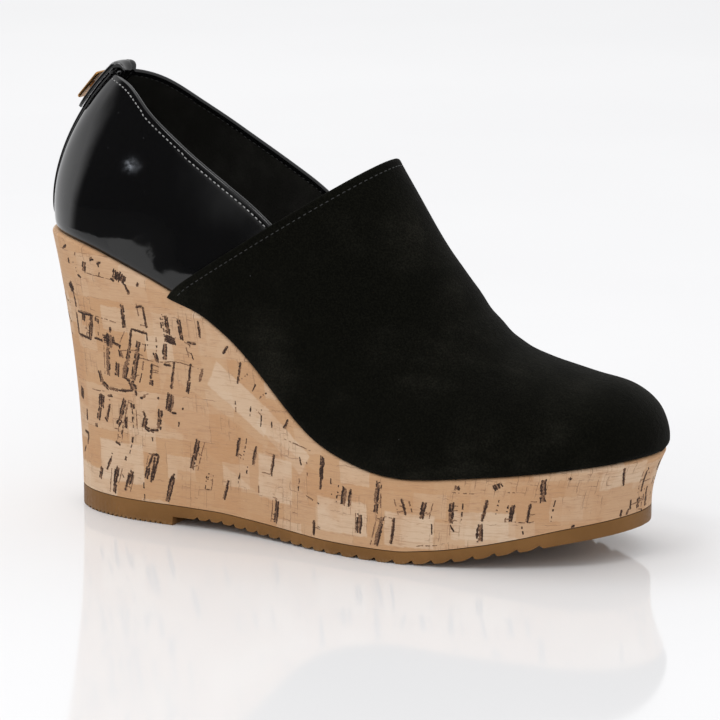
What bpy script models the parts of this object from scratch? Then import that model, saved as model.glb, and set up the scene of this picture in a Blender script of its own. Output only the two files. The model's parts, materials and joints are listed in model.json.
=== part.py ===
"""The right shoe of a pair of slip-on wedge loafers, at its real size.

Metres, +X to the toe, +Z up, so -Y is the outer side of a right shoe. Lengths along the shoe are
measured from the back edge of the heel's sole, and heights from the floor. One empty then moves the
whole shoe so that the origin lies under the middle of the heel.

The upper is built from strips. Each strip is a cubic curve that climbs from the seat, the edge of
the wedge under the foot, to the top line or to the ridge along the middle of the vamp. The wall, the
suede vamp, the back strip and the pull tab are all offsets of that one surface.
"""
import math

import bpy
import numpy as np
from mathutils import Matrix, Vector

# Sizes of the wedge and sole
SEAT_LENGTH = 0.2400       # edge of the cork under the foot, heel to toe
BALL_WIDTH = 0.0890        # the same edge across the ball
HEEL_HEIGHT = 0.1042       # floor to the seat at the back
PLATFORM_HEIGHT = 0.0305   # floor to the seat under the ball
SEAT_TOE_RISE = 0.0076     # the seat at the tip above the seat under the ball
HEEL_OVERHANG = 0.0114     # seat behind the sole at the back
TOE_OVERHANG = 0.0050      # seat ahead of the sole at the tip
SOLE_THICKNESS = 0.0046    # rubber under the ball
HEEL_STEP = 0.0032         # the heel's sole below the waist of the sole
HEEL_BREAST = 0.0510       # back edge of the sole to that step
TOE_SPRING = 0.0115        # sole lifted at the tip of the toe
FLARE_POWER = 1.9          # how late the wedge's side turns outward as it climbs
ROLL_RADIUS = 0.0016       # rounded top edge of the cork

# Tread under the waist and the ball
WAIST_PITCH = 0.0052
BALL_PITCH = 0.0072
WAIST_TOOTH = 0.0011
BALL_TOOTH = 0.0013
BALL_TEETH_SHARE = 0.53    # where the larger teeth start and where all end, along the sole
TEETH_END_SHARE = 0.86

# Sizes of the upper
COUNTER_HEIGHT = 0.0586    # seat to the top line at the back
PEAK_RISE = 0.0316         # tongue-shaped top of the vamp above the seat at the back
WALL = 0.0016              # quarter leather with its lining
SUEDE = 0.0013             # vamp over the wall
INSOLE = 0.0020
BACK_LIP = 0.0013          # cork outside the upper at the back
FRONT_LIP = 0.0006         # cork outside the wall at the toe

# Back strip, pull tab and plate
STRIP_WIDTH = 0.0110
STRIP_THICKNESS = 0.0009
TAB_WIDTH = 0.0120
TAB_THICKNESS = 0.0013
PLATE_LENGTH = 0.0130
PLATE_WIDTH = 0.0080
PLATE_THICKNESS = 0.0011
PLATE_CORNER = 0.0012
PLATE_CHAMFER = 0.0003
PLATE_LIFT = 0.0007        # middle of the plate off the tab
PLATE_LEAN = math.radians(3)
STUD_RADIUS = 0.0015

FIT_GAP = 0.0003           # between pieces that touch

# The seat from heel to toe: shares of the seat's length, of half the ball width, of half the ball
# width, of how far the heel stands above the ball, and of the seat's rise at the toe
SEAT = (
    # along, outer, inner, swing, pitch, toe
    (0.0000, 0.000, 0.000, 0.000, 1.000, 0.00),
    (0.0117, 0.247, 0.247, 0.000, 0.996, 0.00),
    (0.0525, 0.483, 0.483, 0.000, 0.981, 0.00),
    (0.1150, 0.629, 0.620, 0.000, 0.943, 0.00),
    (0.1858, 0.697, 0.674, 0.000, 0.866, 0.00),
    (0.2625, 0.760, 0.708, 0.000, 0.775, 0.00),
    (0.3233, 0.787, 0.708, 0.000, 0.669, 0.00),
    (0.3858, 0.816, 0.708, 0.000, 0.529, 0.00),
    (0.4525, 0.861, 0.737, 0.000, 0.319, 0.00),
    (0.5150, 0.919, 0.804, 0.000, 0.142, 0.00),
    (0.5817, 0.984, 0.888, 0.000, 0.046, 0.00),
    (0.6567, 1.034, 0.966, 0.000, 0.000, 0.00),
    (0.7400, 1.011, 0.989, 0.000, 0.000, 0.14),
    (0.8150, 0.921, 0.933, 0.011, 0.000, 0.37),
    (0.8775, 0.816, 0.831, 0.027, 0.000, 0.59),
    (0.9275, 0.681, 0.697, 0.040, 0.000, 0.79),
    (0.9650, 0.506, 0.528, 0.054, 0.000, 0.91),
    (0.9900, 0.270, 0.283, 0.063, 0.000, 0.99),
    (1.0000, 0.000, 0.000, 0.067, 0.000, 1.00),
)

# The sole's outline under the same rows, as shares of half the ball width
SOLE_OUTER = (0.000, 0.225, 0.456, 0.607, 0.670, 0.692, 0.715, 0.764, 0.854, 0.951,
              1.027, 1.056, 1.018, 0.921, 0.793, 0.645, 0.467, 0.243, 0.000)
SOLE_INNER = (0.000, 0.225, 0.456, 0.603, 0.656, 0.640, 0.618, 0.629, 0.697, 0.798,
              0.888, 0.962, 0.971, 0.903, 0.793, 0.663, 0.490, 0.258, 0.000)

# The tread's lowest line and the rubber's thickness along the sole: shares of the sole's length, of
# the step at the heel, of the toe spring and of the sole's thickness
TREAD = (
    # along, arch, spring, thick
    (0.000, 1.00, 0.00, 1.04),
    (0.220, 1.00, 0.00, 1.00),
    (0.305, 0.97, 0.00, 0.94),
    (0.380, 0.53, 0.00, 1.02),
    (0.460, 0.20, 0.00, 1.05),
    (0.545, 0.00, 0.00, 1.04),
    (0.660, 0.00, 0.00, 1.02),
    (0.720, 0.00, 0.09, 1.07),
    (0.787, 0.00, 0.29, 1.06),
    (0.853, 0.00, 0.53, 1.10),
    (0.920, 0.00, 0.78, 1.20),
    (1.000, 0.00, 1.00, 1.25),
)

# The top line from the back seam to where the vamp covers it: shares of the seat's length, of half
# the ball width and of the counter's height above the seat at the back
COLLAR = (
    # along, half, rise
    (0.1058, 0.000, 1.000),
    (0.1142, 0.146, 0.995),
    (0.1525, 0.297, 0.947),
    (0.2000, 0.449, 0.812),
    (0.2467, 0.535, 0.681),
    (0.2863, 0.580, 0.572),
    (0.3229, 0.607, 0.476),
    (0.3588, 0.625, 0.382),
    (0.3933, 0.638, 0.288),
)

# How the quarter's strips bulge, from the back seam forward: where each handle stands along the
# strip's chord, and how far outside it, as a share of the counter's height
QUARTER = (
    # share, low, low_out, high, high_out
    (0.00, 0.264, 0.189, 0.694, 0.184),
    (0.17, 0.270, 0.153, 0.690, 0.158),
    (0.35, 0.280, 0.108, 0.685, 0.120),
    (0.60, 0.290, 0.072, 0.680, 0.082),
    (0.80, 0.293, 0.053, 0.672, 0.061),
)

# The vamp's ridge from its peak to the tip: shares of the seat's length and of the peak's height
# above the seat at the tip
RIDGE = (
    # along, rise
    (0.5658, 1.000),
    (0.6117, 0.822),
    (0.6496, 0.678),
    (0.6913, 0.542),
    (0.7250, 0.429),
    (0.7575, 0.354),
    (0.7992, 0.304),
    (0.8517, 0.269),
    (0.8933, 0.246),
    (0.9333, 0.227),
    (0.9621, 0.191),
    (0.9833, 0.140),
    (0.9950, 0.086),
    (0.9983, 0.037),
    (0.9975, 0.000),
)

THROAT_ALONG = 0.2625      # where the vamp's edge meets the seat, as a share of the seat
COLLAR_CROSSING = 0.43     # where the top line passes under that edge, as a share of its curve

# The vamp's strips from the throat to the tip: the seat's share where each starts and the ridge's
# share where it ends, then the two handles as shares of the climb and of the half width
VAMP = (
    # seat, ridge, low, low_half, high_half
    (THROAT_ALONG, 0.000, 0.38, 1.110, 0.82),
    (0.4525, 0.260, 0.42, 1.070, 0.72),
    (0.5817, 0.400, 0.45, 1.040, 0.64),
    (0.6567, 0.490, 0.47, 1.030, 0.60),
    (0.7400, 0.585, 0.50, 1.030, 0.58),
    (0.8150, 0.670, 0.52, 1.035, 0.57),
    (0.8775, 0.750, 0.54, 1.040, 0.57),
    (0.9275, 0.820, 0.55, 1.045, 0.58),
    (0.9650, 0.880, 0.55, 1.050, 0.58),
    (0.9900, 0.940, 0.55, 1.050, 0.58),
    (1.0000, 1.000, 0.55, 1.050, 0.58),
)

# How finely the surfaces are cut
QUARTER_STATIONS = 12
QUARTER_CROWDING = 1.35    # power that crowds the strips where the quarter turns around the heel
VAMP_STATIONS = 26
VAMP_CROWDING = 0.38       # how much more closely the strips stand toward the tip
QUARTER_ROWS = 6
VAMP_ROWS = 11
WEDGE_ROWS = (0.0, 0.10, 0.24, 0.38, 0.52, 0.66, 0.80, 0.92, 1.0)
ROLL_STEPS = 3
SOLE_STEPS = 1600          # steps along the sole's outline, of which each part takes one in so many
HEEL_STRIDE = 60
WAIST_STRIDE = 40
TOE_STRIDE = 25
NEAR_SHARE = 1e-3          # steps over which directions are measured
NEAR_ACROSS = 0.0015
NEAR_CLIMB = 0.02

OUTER = -1
INNER = 1
SIDES = (OUTER, INNER)

SOLE_LENGTH = SEAT_LENGTH - HEEL_OVERHANG - TOE_OVERHANG
HALF_BALL = BALL_WIDTH / 2
HEEL_MIDDLE = HEEL_BREAST / 2

# Materials: colour, roughness, metallic
SUEDE_BLACK = ("suede_black", (0.012, 0.012, 0.013), 0.95, 0.0)
PATENT_BLACK = ("patent_black", (0.008, 0.008, 0.009), 0.08, 0.0)
LINING_BLACK = ("lining_black", (0.020, 0.020, 0.021), 0.80, 0.0)
CORK = ("cork", (0.560, 0.360, 0.210), 0.75, 0.0)
GUM_RUBBER = ("gum_rubber", (0.330, 0.185, 0.070), 0.55, 0.0)
BRASS = ("brass", (0.640, 0.430, 0.200), 0.25, 1.0)


def hermite(knots, values, tangent):
    """The cubic curve with these values and slopes at its knots."""
    step = np.diff(knots)

    def at(where):
        where = np.clip(where, knots[0], knots[-1])
        i = np.clip(np.searchsorted(knots, where, side="right") - 1, 0, len(knots) - 2)
        t = (where - knots[i]) / step[i]
        start = (1 + 2 * t) * (1 - t) ** 2 * values[i] + t * (1 - t) ** 2 * step[i] * tangent[i]
        end = t * t * (3 - 2 * t) * values[i + 1] - t * t * (1 - t) * step[i] * tangent[i + 1]
        return start + end

    return at


def steady_curve(knots, values):
    """A smooth curve that is level wherever two neighbouring values are equal."""
    slope = np.diff(values) / np.diff(knots)
    before, after = slope[:-1], slope[1:]
    same_way = before * after > 0
    safe = np.where(same_way, before + after, 1.0)
    inner = np.where(same_way, 2 * before * after / safe, 0.0)
    return hermite(knots, values, np.concatenate(([slope[0]], inner, [slope[-1]])))


def spline(knots, values, level_start, level_end):
    """A smooth curve through values. A level end arrives flat, any other end arrives straight."""
    knots = np.asarray(knots, float)
    values = np.asarray(values, float)
    step = np.diff(knots)
    slope = np.diff(values) / step
    count = len(knots)
    system = np.zeros((count, count))
    right = np.zeros(count)
    for i in range(1, count - 1):
        system[i, i - 1:i + 2] = step[i], 2 * (step[i - 1] + step[i]), step[i - 1]
        right[i] = 3 * (step[i] * slope[i - 1] + step[i - 1] * slope[i])
    system[0, 0] = system[-1, -1] = 1.0
    if not level_start:
        system[0, :2] = 2.0, 1.0
        right[0] = 3 * slope[0]
    if not level_end:
        system[-1, -2:] = 1.0, 2.0
        right[-1] = 3 * slope[-1]
    return hermite(knots, values, np.linalg.solve(system, right))


def running_length(points):
    """How far along a chain of points each one lies, as a share of the whole."""
    points = np.asarray(points, float)
    steps = np.linalg.norm(np.diff(points, axis=0), axis=1)
    length = np.concatenate(([0.0], np.cumsum(steps)))
    return length / length[-1]


def cubic(start, low, high, end, t):
    """A point of a cubic Bezier curve."""
    return ((1 - t) ** 3 * start + 3 * t * (1 - t) ** 2 * low
            + 3 * t * t * (1 - t) * high + t ** 3 * end)


def unit(vector):
    return vector / np.linalg.norm(vector)


# The seat and the sole's outline

seat_rows = np.array(SEAT)
seat_knots = running_length(np.stack((seat_rows[:, 0] * SEAT_LENGTH,
                                      seat_rows[:, 1] * HALF_BALL), axis=1))
seat_along = spline(seat_knots, seat_rows[:, 0], True, True)
seat_swing = spline(seat_knots, seat_rows[:, 3], True, True)
seat_pitch = spline(seat_knots, seat_rows[:, 4], True, True)
seat_toe = spline(seat_knots, seat_rows[:, 5], True, True)
seat_half = {OUTER: spline(seat_knots, seat_rows[:, 1], False, False),
             INNER: spline(seat_knots, seat_rows[:, 2], False, False)}
sole_half = {OUTER: spline(seat_knots, SOLE_OUTER, False, False),
             INNER: spline(seat_knots, SOLE_INNER, False, False)}
throat_share = float(np.interp(THROAT_ALONG, seat_along(np.linspace(0, 1, 801)),
                               np.linspace(0, 1, 801)))


def along_to_x(along):
    """A share of the seat's length as a distance from the sole's back edge."""
    return along * SEAT_LENGTH - HEEL_OVERHANG


def seat(share, side):
    """The edge of the cork under the foot, from the back (0) to the tip (1)."""
    height = (PLATFORM_HEIGHT + (HEEL_HEIGHT - PLATFORM_HEIGHT) * seat_pitch(share)
              + SEAT_TOE_RISE * seat_toe(share))
    y = HALF_BALL * (seat_swing(share) + side * seat_half[side](share))
    return np.array([along_to_x(seat_along(share)), y, height])


def seat_outward(share, side):
    """Level direction out of the seat's edge."""
    before = seat(max(share - NEAR_SHARE, 0.0), side)
    after = seat(min(share + NEAR_SHARE, 1.0), side)
    run = after - before
    if share < NEAR_SHARE or share > 1 - NEAR_SHARE:
        run[0] = 0.0
    return unit(side * np.array([-run[1], run[0], 0.0]))


def vamp_shares():
    """Shares of the seat's outline where the vamp's strips stand, throat to tip."""
    step = np.linspace(0, 1, VAMP_STATIONS + 1)
    crowded = (1 - VAMP_CROWDING) * step + VAMP_CROWDING * np.sin(step * math.pi / 2)
    return throat_share + (1 - throat_share) * crowded


QUARTER_SHARES = np.linspace(0, 1, QUARTER_STATIONS + 1) ** QUARTER_CROWDING
FRONT_SHARES = vamp_shares()
SHARES = np.concatenate((throat_share * QUARTER_SHARES, FRONT_SHARES[1:]))
RUNG_X = [seat(share, OUTER)[0] for share in SHARES]
RUNG_Z = [seat(share, OUTER)[2] for share in SHARES]


def seat_height(x):
    """Height of the seat's surface, which is straight across and between its rungs."""
    return float(np.interp(x, RUNG_X, RUNG_Z))


tread_rows = np.array(TREAD)
tread_arch, tread_spring, tread_thick = (
    steady_curve(tread_rows[:, 0], tread_rows[:, column]) for column in (1, 2, 3))


def tread_line(x):
    """Lowest line of the sole ahead of the heel, before the heel's step down to the floor."""
    along = x / SOLE_LENGTH
    return HEEL_STEP * tread_arch(along) + TOE_SPRING * tread_spring(along)


def cork_floor(x):
    """Height of the cork's underside."""
    return tread_line(x) + SOLE_THICKNESS * tread_thick(x / SOLE_LENGTH)


def sole_edge(share, side):
    """Outline of the cork's underside, below the seat's edge at the same share."""
    x = float(seat_along(share)) * SOLE_LENGTH
    y = HALF_BALL * (seat_swing(share) + side * sole_half[side](share))
    return np.array([x, y, cork_floor(x)])


# The surface of the upper

def wall_foot(share, side):
    """Bottom edge of the upper's wall, inside the cork's lip."""
    lip = BACK_LIP + (FRONT_LIP - BACK_LIP) * seat_along(share)
    point = seat(share, side) - lip * seat_outward(share, side)
    point[2] = seat_height(point[0]) + FIT_GAP
    return point


ridge_rows = np.array(RIDGE)
ridge_x = along_to_x(ridge_rows[:, 0])
tip_height = PLATFORM_HEIGHT + SEAT_TOE_RISE + FIT_GAP
ridge_z = tip_height + ridge_rows[:, 1] * (HEEL_HEIGHT + PEAK_RISE - tip_height)
ridge_knots = running_length(np.stack((ridge_x, ridge_z), axis=1))
ridge_x_at = spline(ridge_knots, ridge_x, False, False)
ridge_z_at = spline(ridge_knots, ridge_z, False, False)
vamp_rows = np.array(VAMP)
vamp_ridge, vamp_low, vamp_low_half, vamp_high_half = (
    spline(vamp_rows[:, 0], vamp_rows[:, column], False, False) for column in (1, 2, 3, 4))


def vamp_handles(share, side):
    """Foot, two handles and top of the vamp's strip that starts at this share of the seat."""
    along = float(seat_along(share))
    foot = wall_foot(share, side)
    ridge = float(vamp_ridge(along))
    top = np.array([ridge_x_at(ridge), HALF_BALL * seat_swing(share), ridge_z_at(ridge)])
    if share >= 1:
        top = foot.copy()
    low = foot + vamp_low(along) * (top - foot)
    low[1] = top[1] + vamp_low_half(along) * (foot[1] - top[1])
    high = top.copy()
    high[1] = top[1] + vamp_high_half(along) * (foot[1] - top[1])
    return foot, low, high, top


def split(start, low, high, end, t):
    """The first part of a cubic Bezier curve, up to t, as a curve of its own."""
    first = start + t * (low - start)
    middle = low + t * (high - low)
    last = high + t * (end - high)
    second = first + t * (middle - first)
    third = second + t * (middle + t * (last - middle) - second)
    return start, first, second, third


collar_rows = np.array(COLLAR)
quarter_rows = np.array(QUARTER)


def collar_curve(side):
    """The top line on one side, from the back seam to its crossing with the vamp's edge."""
    crossing = split(*vamp_handles(throat_share, side), COLLAR_CROSSING)[3]
    x = np.append(along_to_x(collar_rows[:, 0]), crossing[0])
    y = np.append(side * HALF_BALL * collar_rows[:, 1], crossing[1])
    z = np.append(HEEL_HEIGHT + COUNTER_HEIGHT * collar_rows[:, 2], crossing[2])
    knots = running_length(np.stack((x, y, z), axis=1))
    return (spline(knots, x, True, False), spline(knots, y, False, False),
            spline(knots, z, True, False))


COLLAR_CURVES = {side: collar_curve(side) for side in SIDES}


def throat_bulge(side):
    """The last row of the quarter's table, which is the vamp's own edge up to the crossing."""
    foot, low, high, top = split(*vamp_handles(throat_share, side), COLLAR_CROSSING)
    chord = top - foot
    row = [1.0]
    for handle in (low, high):
        share = (handle[0] - foot[0]) / chord[0]
        row += [share, side * (handle[1] - foot[1] - share * chord[1]) / COUNTER_HEIGHT]
    return row


def quarter_curves(side):
    rows = np.vstack((quarter_rows, throat_bulge(side)))
    return [spline(rows[:, 0], rows[:, column], True, False) for column in (1, 2, 3, 4)]


QUARTER_CURVES = {side: quarter_curves(side) for side in SIDES}


def quarter_handles(share, side):
    """Foot, two handles and top of the quarter's strip, from the back seam (0) to the throat (1)."""
    station = share * throat_share
    foot = wall_foot(station, side)
    top = np.array([float(curve(share)) for curve in COLLAR_CURVES[side]])
    outward = seat_outward(station, side)
    outward[0] *= 1 - share ** 2
    outward = unit(outward)
    low, low_out, high, high_out = (float(curve(share)) for curve in QUARTER_CURVES[side])
    chord = top - foot
    return (foot, foot + low * chord + low_out * COUNTER_HEIGHT * outward,
            foot + high * chord + high_out * COUNTER_HEIGHT * outward, top)


def quarter_point(share, side, climb):
    return cubic(*quarter_handles(share, side), climb)


# Meshes

def normals_of(points, faces):
    """Smooth normals of a mesh given as points and faces."""
    normals = np.zeros_like(points)
    for face in faces:
        a, b, c = (points[face[i]] for i in (0, 1, 2))
        across = np.cross(b - a, c - a)
        if len(face) == 4:
            d = points[face[3]]
            across = np.cross(c - a, d - b)
        for corner in face:
            normals[corner] += across
    return normals / np.linalg.norm(normals, axis=1)[:, None]


def drop_repeats(face):
    """A face without the corners that repeat, where a strip ends in a point."""
    kept = [corner for i, corner in enumerate(face) if corner != face[i - 1]]
    return tuple(kept)


def boundary(faces):
    """Directed edges that only one face uses."""
    edges = {(face[i - 1], face[i]) for face in faces for i in range(len(face))}
    return [edge for edge in edges if (edge[1], edge[0]) not in edges]


def shell_mesh(outside, inside, faces):
    """Points and faces of a closed wall between two copies of one sheet."""
    count = len(outside)
    closed = list(faces)
    closed += [tuple(corner + count for corner in reversed(face)) for face in faces]
    closed += [(b, a, a + count, b + count) for a, b in sorted(boundary(faces))]
    return np.vstack((outside, inside)), closed


def grid_faces(columns):
    """Faces between neighbouring columns of equal length."""
    faces = []
    for left, right in zip(columns, columns[1:]):
        for j in range(len(left) - 1):
            face = drop_repeats((left[j], right[j], right[j + 1], left[j + 1]))
            if len(face) > 2:
                faces.append(face)
    return faces


def material(finish):
    name, colour, roughness, metallic = finish
    made = bpy.data.materials.get(name)
    if made:
        return made
    made = bpy.data.materials.new(name)
    made.use_nodes = True
    shader = made.node_tree.nodes["Principled BSDF"]
    shader.inputs["Base Color"].default_value = (*colour, 1.0)
    shader.inputs["Roughness"].default_value = roughness
    shader.inputs["Metallic"].default_value = metallic
    made.diffuse_color = (*colour, 1.0)
    return made


def add_piece(name, points, faces, finish, crease=40):
    """A named object from points and faces, with corners that no face uses left out."""
    used = sorted({corner for face in faces for corner in face})
    place = {corner: i for i, corner in enumerate(used)}
    mesh = bpy.data.meshes.new(name)
    mesh.from_pydata([tuple(points[corner]) for corner in used], [],
                     [tuple(place[corner] for corner in face) for face in faces])
    mesh.validate()
    mesh.shade_smooth()
    mesh.set_sharp_from_angle(angle=math.radians(crease))
    mesh.materials.append(material(finish))
    piece = bpy.data.objects.new(name, mesh)
    bpy.context.collection.objects.link(piece)
    piece.parent = shoe
    return piece


# The upper's sheet: its corners, its faces and which faces the vamp covers

class Sheet:
    """Corners and faces of the upper's outer surface, with shared corners stored once."""

    def __init__(self):
        self.points = []
        self.quarter = []
        self.vamp = []
        self.foot = set()
        self.build()
        self.points = np.array(self.points)
        self.normals = normals_of(self.points, self.quarter + self.vamp)
        self.level_foot_normals()

    def add(self, point, on_foot=False):
        self.points.append(point)
        index = len(self.points) - 1
        if on_foot:
            self.foot.add(index)
        return index

    def build(self):
        throat = {}
        vamp_columns = []
        for share in FRONT_SHARES:
            if share >= 1:
                tip = self.add(wall_foot(1.0, OUTER), True)
                vamp_columns.append([tip] * (2 * VAMP_ROWS + 1))
                continue
            halves = {}
            for side in SIDES:
                handles = vamp_handles(share, side)
                climbs = [COLLAR_CROSSING * j / QUARTER_ROWS for j in range(QUARTER_ROWS)]
                rest = VAMP_ROWS - QUARTER_ROWS
                climbs += [COLLAR_CROSSING + (1 - COLLAR_CROSSING) * j / rest for j in range(rest)]
                halves[side] = [self.add(cubic(*handles, climb), climb == 0) for climb in climbs]
            top = self.add(vamp_handles(share, OUTER)[3])
            vamp_columns.append(halves[OUTER] + [top] + halves[INNER][::-1])
            if share == FRONT_SHARES[0]:
                throat = {side: halves[side][:QUARTER_ROWS + 1] for side in SIDES}
        self.vamp = grid_faces(vamp_columns)

        quarter_columns = []
        climbs = np.linspace(0, 1, QUARTER_ROWS + 1)
        stations = [(share, INNER) for share in QUARTER_SHARES[::-1]]
        stations += [(share, OUTER) for share in QUARTER_SHARES[1:]]
        for share, side in stations:
            if share == 1:
                quarter_columns.append(throat[side])
                continue
            quarter_columns.append([self.add(quarter_point(share, side, climb), climb == 0)
                                    for climb in climbs])
        self.quarter = grid_faces(quarter_columns)

    def level_foot_normals(self):
        """Along the bottom edge the wall is measured level, so that it stands flat on the seat."""
        for corner in self.foot:
            self.normals[corner, 2] = 0.0
            self.normals[corner] = unit(self.normals[corner])

    def offset(self, distance):
        """The sheet moved along its normals, with its bottom edge kept on the seat."""
        moved = self.points + distance * self.normals
        for corner in self.foot:
            moved[corner, 2] = seat_height(moved[corner, 0]) + FIT_GAP
        return moved


def build_upper(sheet):
    """Quarter and lined wall as one hollow body, open at the top line and underneath."""
    points, faces = shell_mesh(sheet.points, sheet.offset(-WALL), sheet.quarter + sheet.vamp)
    add_piece("upper", points, faces, PATENT_BLACK)


def build_vamp(sheet):
    """The suede vamp, a second layer over the front of the wall."""
    points, faces = shell_mesh(sheet.offset(FIT_GAP + SUEDE), sheet.offset(FIT_GAP), sheet.vamp)
    add_piece("vamp", points, faces, SUEDE_BLACK)


def seat_loop(edge):
    """Both sides of a level outline as pairs of corners, rung by rung from the back to the tip."""
    return [(edge(share, OUTER), edge(share, INNER)) for share in SHARES]


def stack_of_rungs(levels):
    """A closed body from level outlines, lowest first, each a list of left and right corners."""
    points = []
    ids = []
    for level in levels:
        row = []
        for i, (left, right) in enumerate(level):
            points.append(left)
            first = len(points) - 1
            if i in (0, len(level) - 1):
                row.append((first, first))
                continue
            points.append(right)
            row.append((first, first + 1))
        ids.append(row)
    faces = []
    for low, high in zip(ids, ids[1:]):
        for i in range(len(low) - 1):
            faces.append(drop_repeats((low[i][0], low[i + 1][0], high[i + 1][0], high[i][0])))
            faces.append(drop_repeats((low[i + 1][1], low[i][1], high[i][1], high[i + 1][1])))
    for i in range(len(ids[0]) - 1):
        low, high = ids[0], ids[-1]
        faces.append(drop_repeats((low[i][0], low[i][1], low[i + 1][1], low[i + 1][0])))
        faces.append(drop_repeats((high[i][0], high[i + 1][0], high[i + 1][1], high[i][1])))
    return np.array(points), faces


def wedge_level(height):
    """Outline of the wedge's side at a share of its height."""
    def edge(share, side):
        low = sole_edge(share, side)
        high = seat(share, side)
        high[2] -= ROLL_RADIUS
        point = low + (high - low) * height ** FLARE_POWER
        point[2] = low[2] + (high[2] - low[2]) * height
        return point
    return edge


def rolled_level(angle):
    """Outline of the wedge's rounded top edge at an angle of the rounding."""
    def edge(share, side):
        inset = ROLL_RADIUS * (1 - math.cos(angle))
        point = seat(share, side) - inset * seat_outward(share, side)
        point[2] = seat_height(point[0]) - ROLL_RADIUS * (1 - math.sin(angle))
        return point
    return edge


def build_wedge():
    levels = [seat_loop(wedge_level(height)) for height in WEDGE_ROWS]
    for step in range(1, ROLL_STEPS + 1):
        levels.append(seat_loop(rolled_level(math.pi / 2 * step / ROLL_STEPS)))
    points, faces = stack_of_rungs(levels)
    add_piece("wedge", points, faces, CORK)


def teeth():
    """Stations of the tread as distance along the sole and lift above the tread's lowest line."""
    # A tooth falls steeply from the notch behind it, is flat, and rises gently to the next notch
    shape = ((0.00, 1.0), (0.10, 0.35), (0.20, 0.0), (0.52, 0.0), (0.80, 0.4))
    found = []
    x = HEEL_BREAST + 2 * WAIST_PITCH
    while x < TEETH_END_SHARE * SOLE_LENGTH:
        in_ball = x > BALL_TEETH_SHARE * SOLE_LENGTH
        pitch = BALL_PITCH if in_ball else WAIST_PITCH
        depth = BALL_TOOTH if in_ball else WAIST_TOOTH
        found += [(x + share * pitch, lift * depth) for share, lift in shape]
        x += pitch
    found.append((x, BALL_TOOTH / 2))
    found.append((x + BALL_PITCH / 4, 0.0))
    return found


def build_outsole():
    """The rubber sole: a flat heel, a step, then a toothed tread that rolls up at the toe."""
    fine = np.linspace(0, 1, SOLE_STEPS + 1)
    fine_x = seat_along(fine) * SOLE_LENGTH
    step = FIT_GAP / 2
    tread = teeth()
    rungs = [(x, 0.0) for x in fine_x[::HEEL_STRIDE] if x < HEEL_BREAST - 3 * step]
    rungs += [(HEEL_BREAST - step, 0.0), (HEEL_BREAST + step, 0.0)]
    rungs += [(x, 0.0) for x in fine_x[::WAIST_STRIDE]
              if HEEL_BREAST + 3 * step < x < tread[0][0] - step]
    rungs += tread
    rungs += [(x, 0.0) for x in fine_x[::TOE_STRIDE][:-1] if x > tread[-1][0] + step]
    rungs.append((SOLE_LENGTH, 0.0))
    bottom, top = [], []
    for x, lift in rungs:
        share = float(np.interp(x, fine_x, fine))
        height = 0.0 if x < HEEL_BREAST else float(tread_line(x)) + lift
        pair_low, pair_high = [], []
        for side in SIDES:
            edge = sole_edge(share, side)
            pair_low.append(np.array([x, edge[1], height]))
            pair_high.append(np.array([x, edge[1], cork_floor(x) - FIT_GAP]))
        bottom.append(tuple(pair_low))
        top.append(tuple(pair_high))
    points, faces = stack_of_rungs([bottom, top])
    add_piece("outsole", points, faces, GUM_RUBBER)


def build_insole(sheet):
    """The sock inside the upper, on the wedge's seat."""
    inset = WALL + FIT_GAP

    def level(lift):
        def edge(share, side):
            point = wall_foot(share, side) - inset * seat_outward(share, side)
            point[2] = seat_height(point[0]) + FIT_GAP + lift
            return point
        return edge
    points, faces = stack_of_rungs([seat_loop(level(0.0)), seat_loop(level(INSOLE))])
    add_piece("insole", points, faces, LINING_BLACK)


# The back strip, the pull tab and its plate follow the back of the quarter

BACK_REACH = np.linspace(0, 0.35, 15)


def back_point(y, climb):
    """The quarter's surface near the back seam, at a distance y from the seam."""
    side = OUTER if y < 0 else INNER
    line = np.array([quarter_point(share, side, climb) for share in BACK_REACH])
    reach = side * line[:, 1]
    return np.array([np.interp(side * y, reach, line[:, 0]), y, np.interp(side * y, reach, line[:, 2])])


def back_frame(y, climb):
    """A point of that surface with its upward tangent and its outward normal."""
    point = back_point(y, climb)
    across = back_point(y + NEAR_ACROSS, climb) - back_point(y - NEAR_ACROSS, climb)
    low = back_point(y, max(climb - NEAR_CLIMB, 0.0))
    high = back_point(y, min(climb + NEAR_CLIMB, 1.0))
    up = unit(high - low)
    return point, up, unit(np.cross(up, across))


def strip_between(name, rows, width_at, finish, low_face, high_face, columns=4):
    """A strip over the back: each row gives its points on the low and high face, for each y."""
    outside, inside, ids = [], [], []
    for row in rows:
        column = []
        for i in range(columns + 1):
            y = width_at(row) * (i / columns - 0.5)
            outside.append(high_face(row, y))
            inside.append(low_face(row, y))
            column.append(len(outside) - 1)
        ids.append(column)
    faces = grid_faces(ids)
    points, closed = shell_mesh(np.array(outside), np.array(inside), faces)
    add_piece(name, points, closed, finish)


STRIP_CLIMBS = (0.045, 0.060, 0.085, 0.13, 0.22, 0.33, 0.45, 0.57, 0.69, 0.80, 0.90, 0.97)
STRIP_ENDS = (0.30, 0.66, 0.92)       # shares of the strip's width at its rounded lower end
TAB_CLIMBS = (0.735, 0.745, 0.77, 0.83, 0.90, 0.96, 1.0)
TAB_ENDS = (0.62, 0.86)
TAB_INNER_CLIMBS = (1.0, 0.95, 0.89)
TAB_ARC_STEPS = 6
PLATE_CLIMB = 0.845
TAB_SEAT = FIT_GAP + STRIP_THICKNESS + FIT_GAP
TAB_INNER_SEAT = WALL + 2 * FIT_GAP


def rounded_width(width, ends):
    """Width of a strip by row, narrowing over its first rows."""
    return lambda row: width * (ends[row] if row < len(ends) else 1.0)


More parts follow.
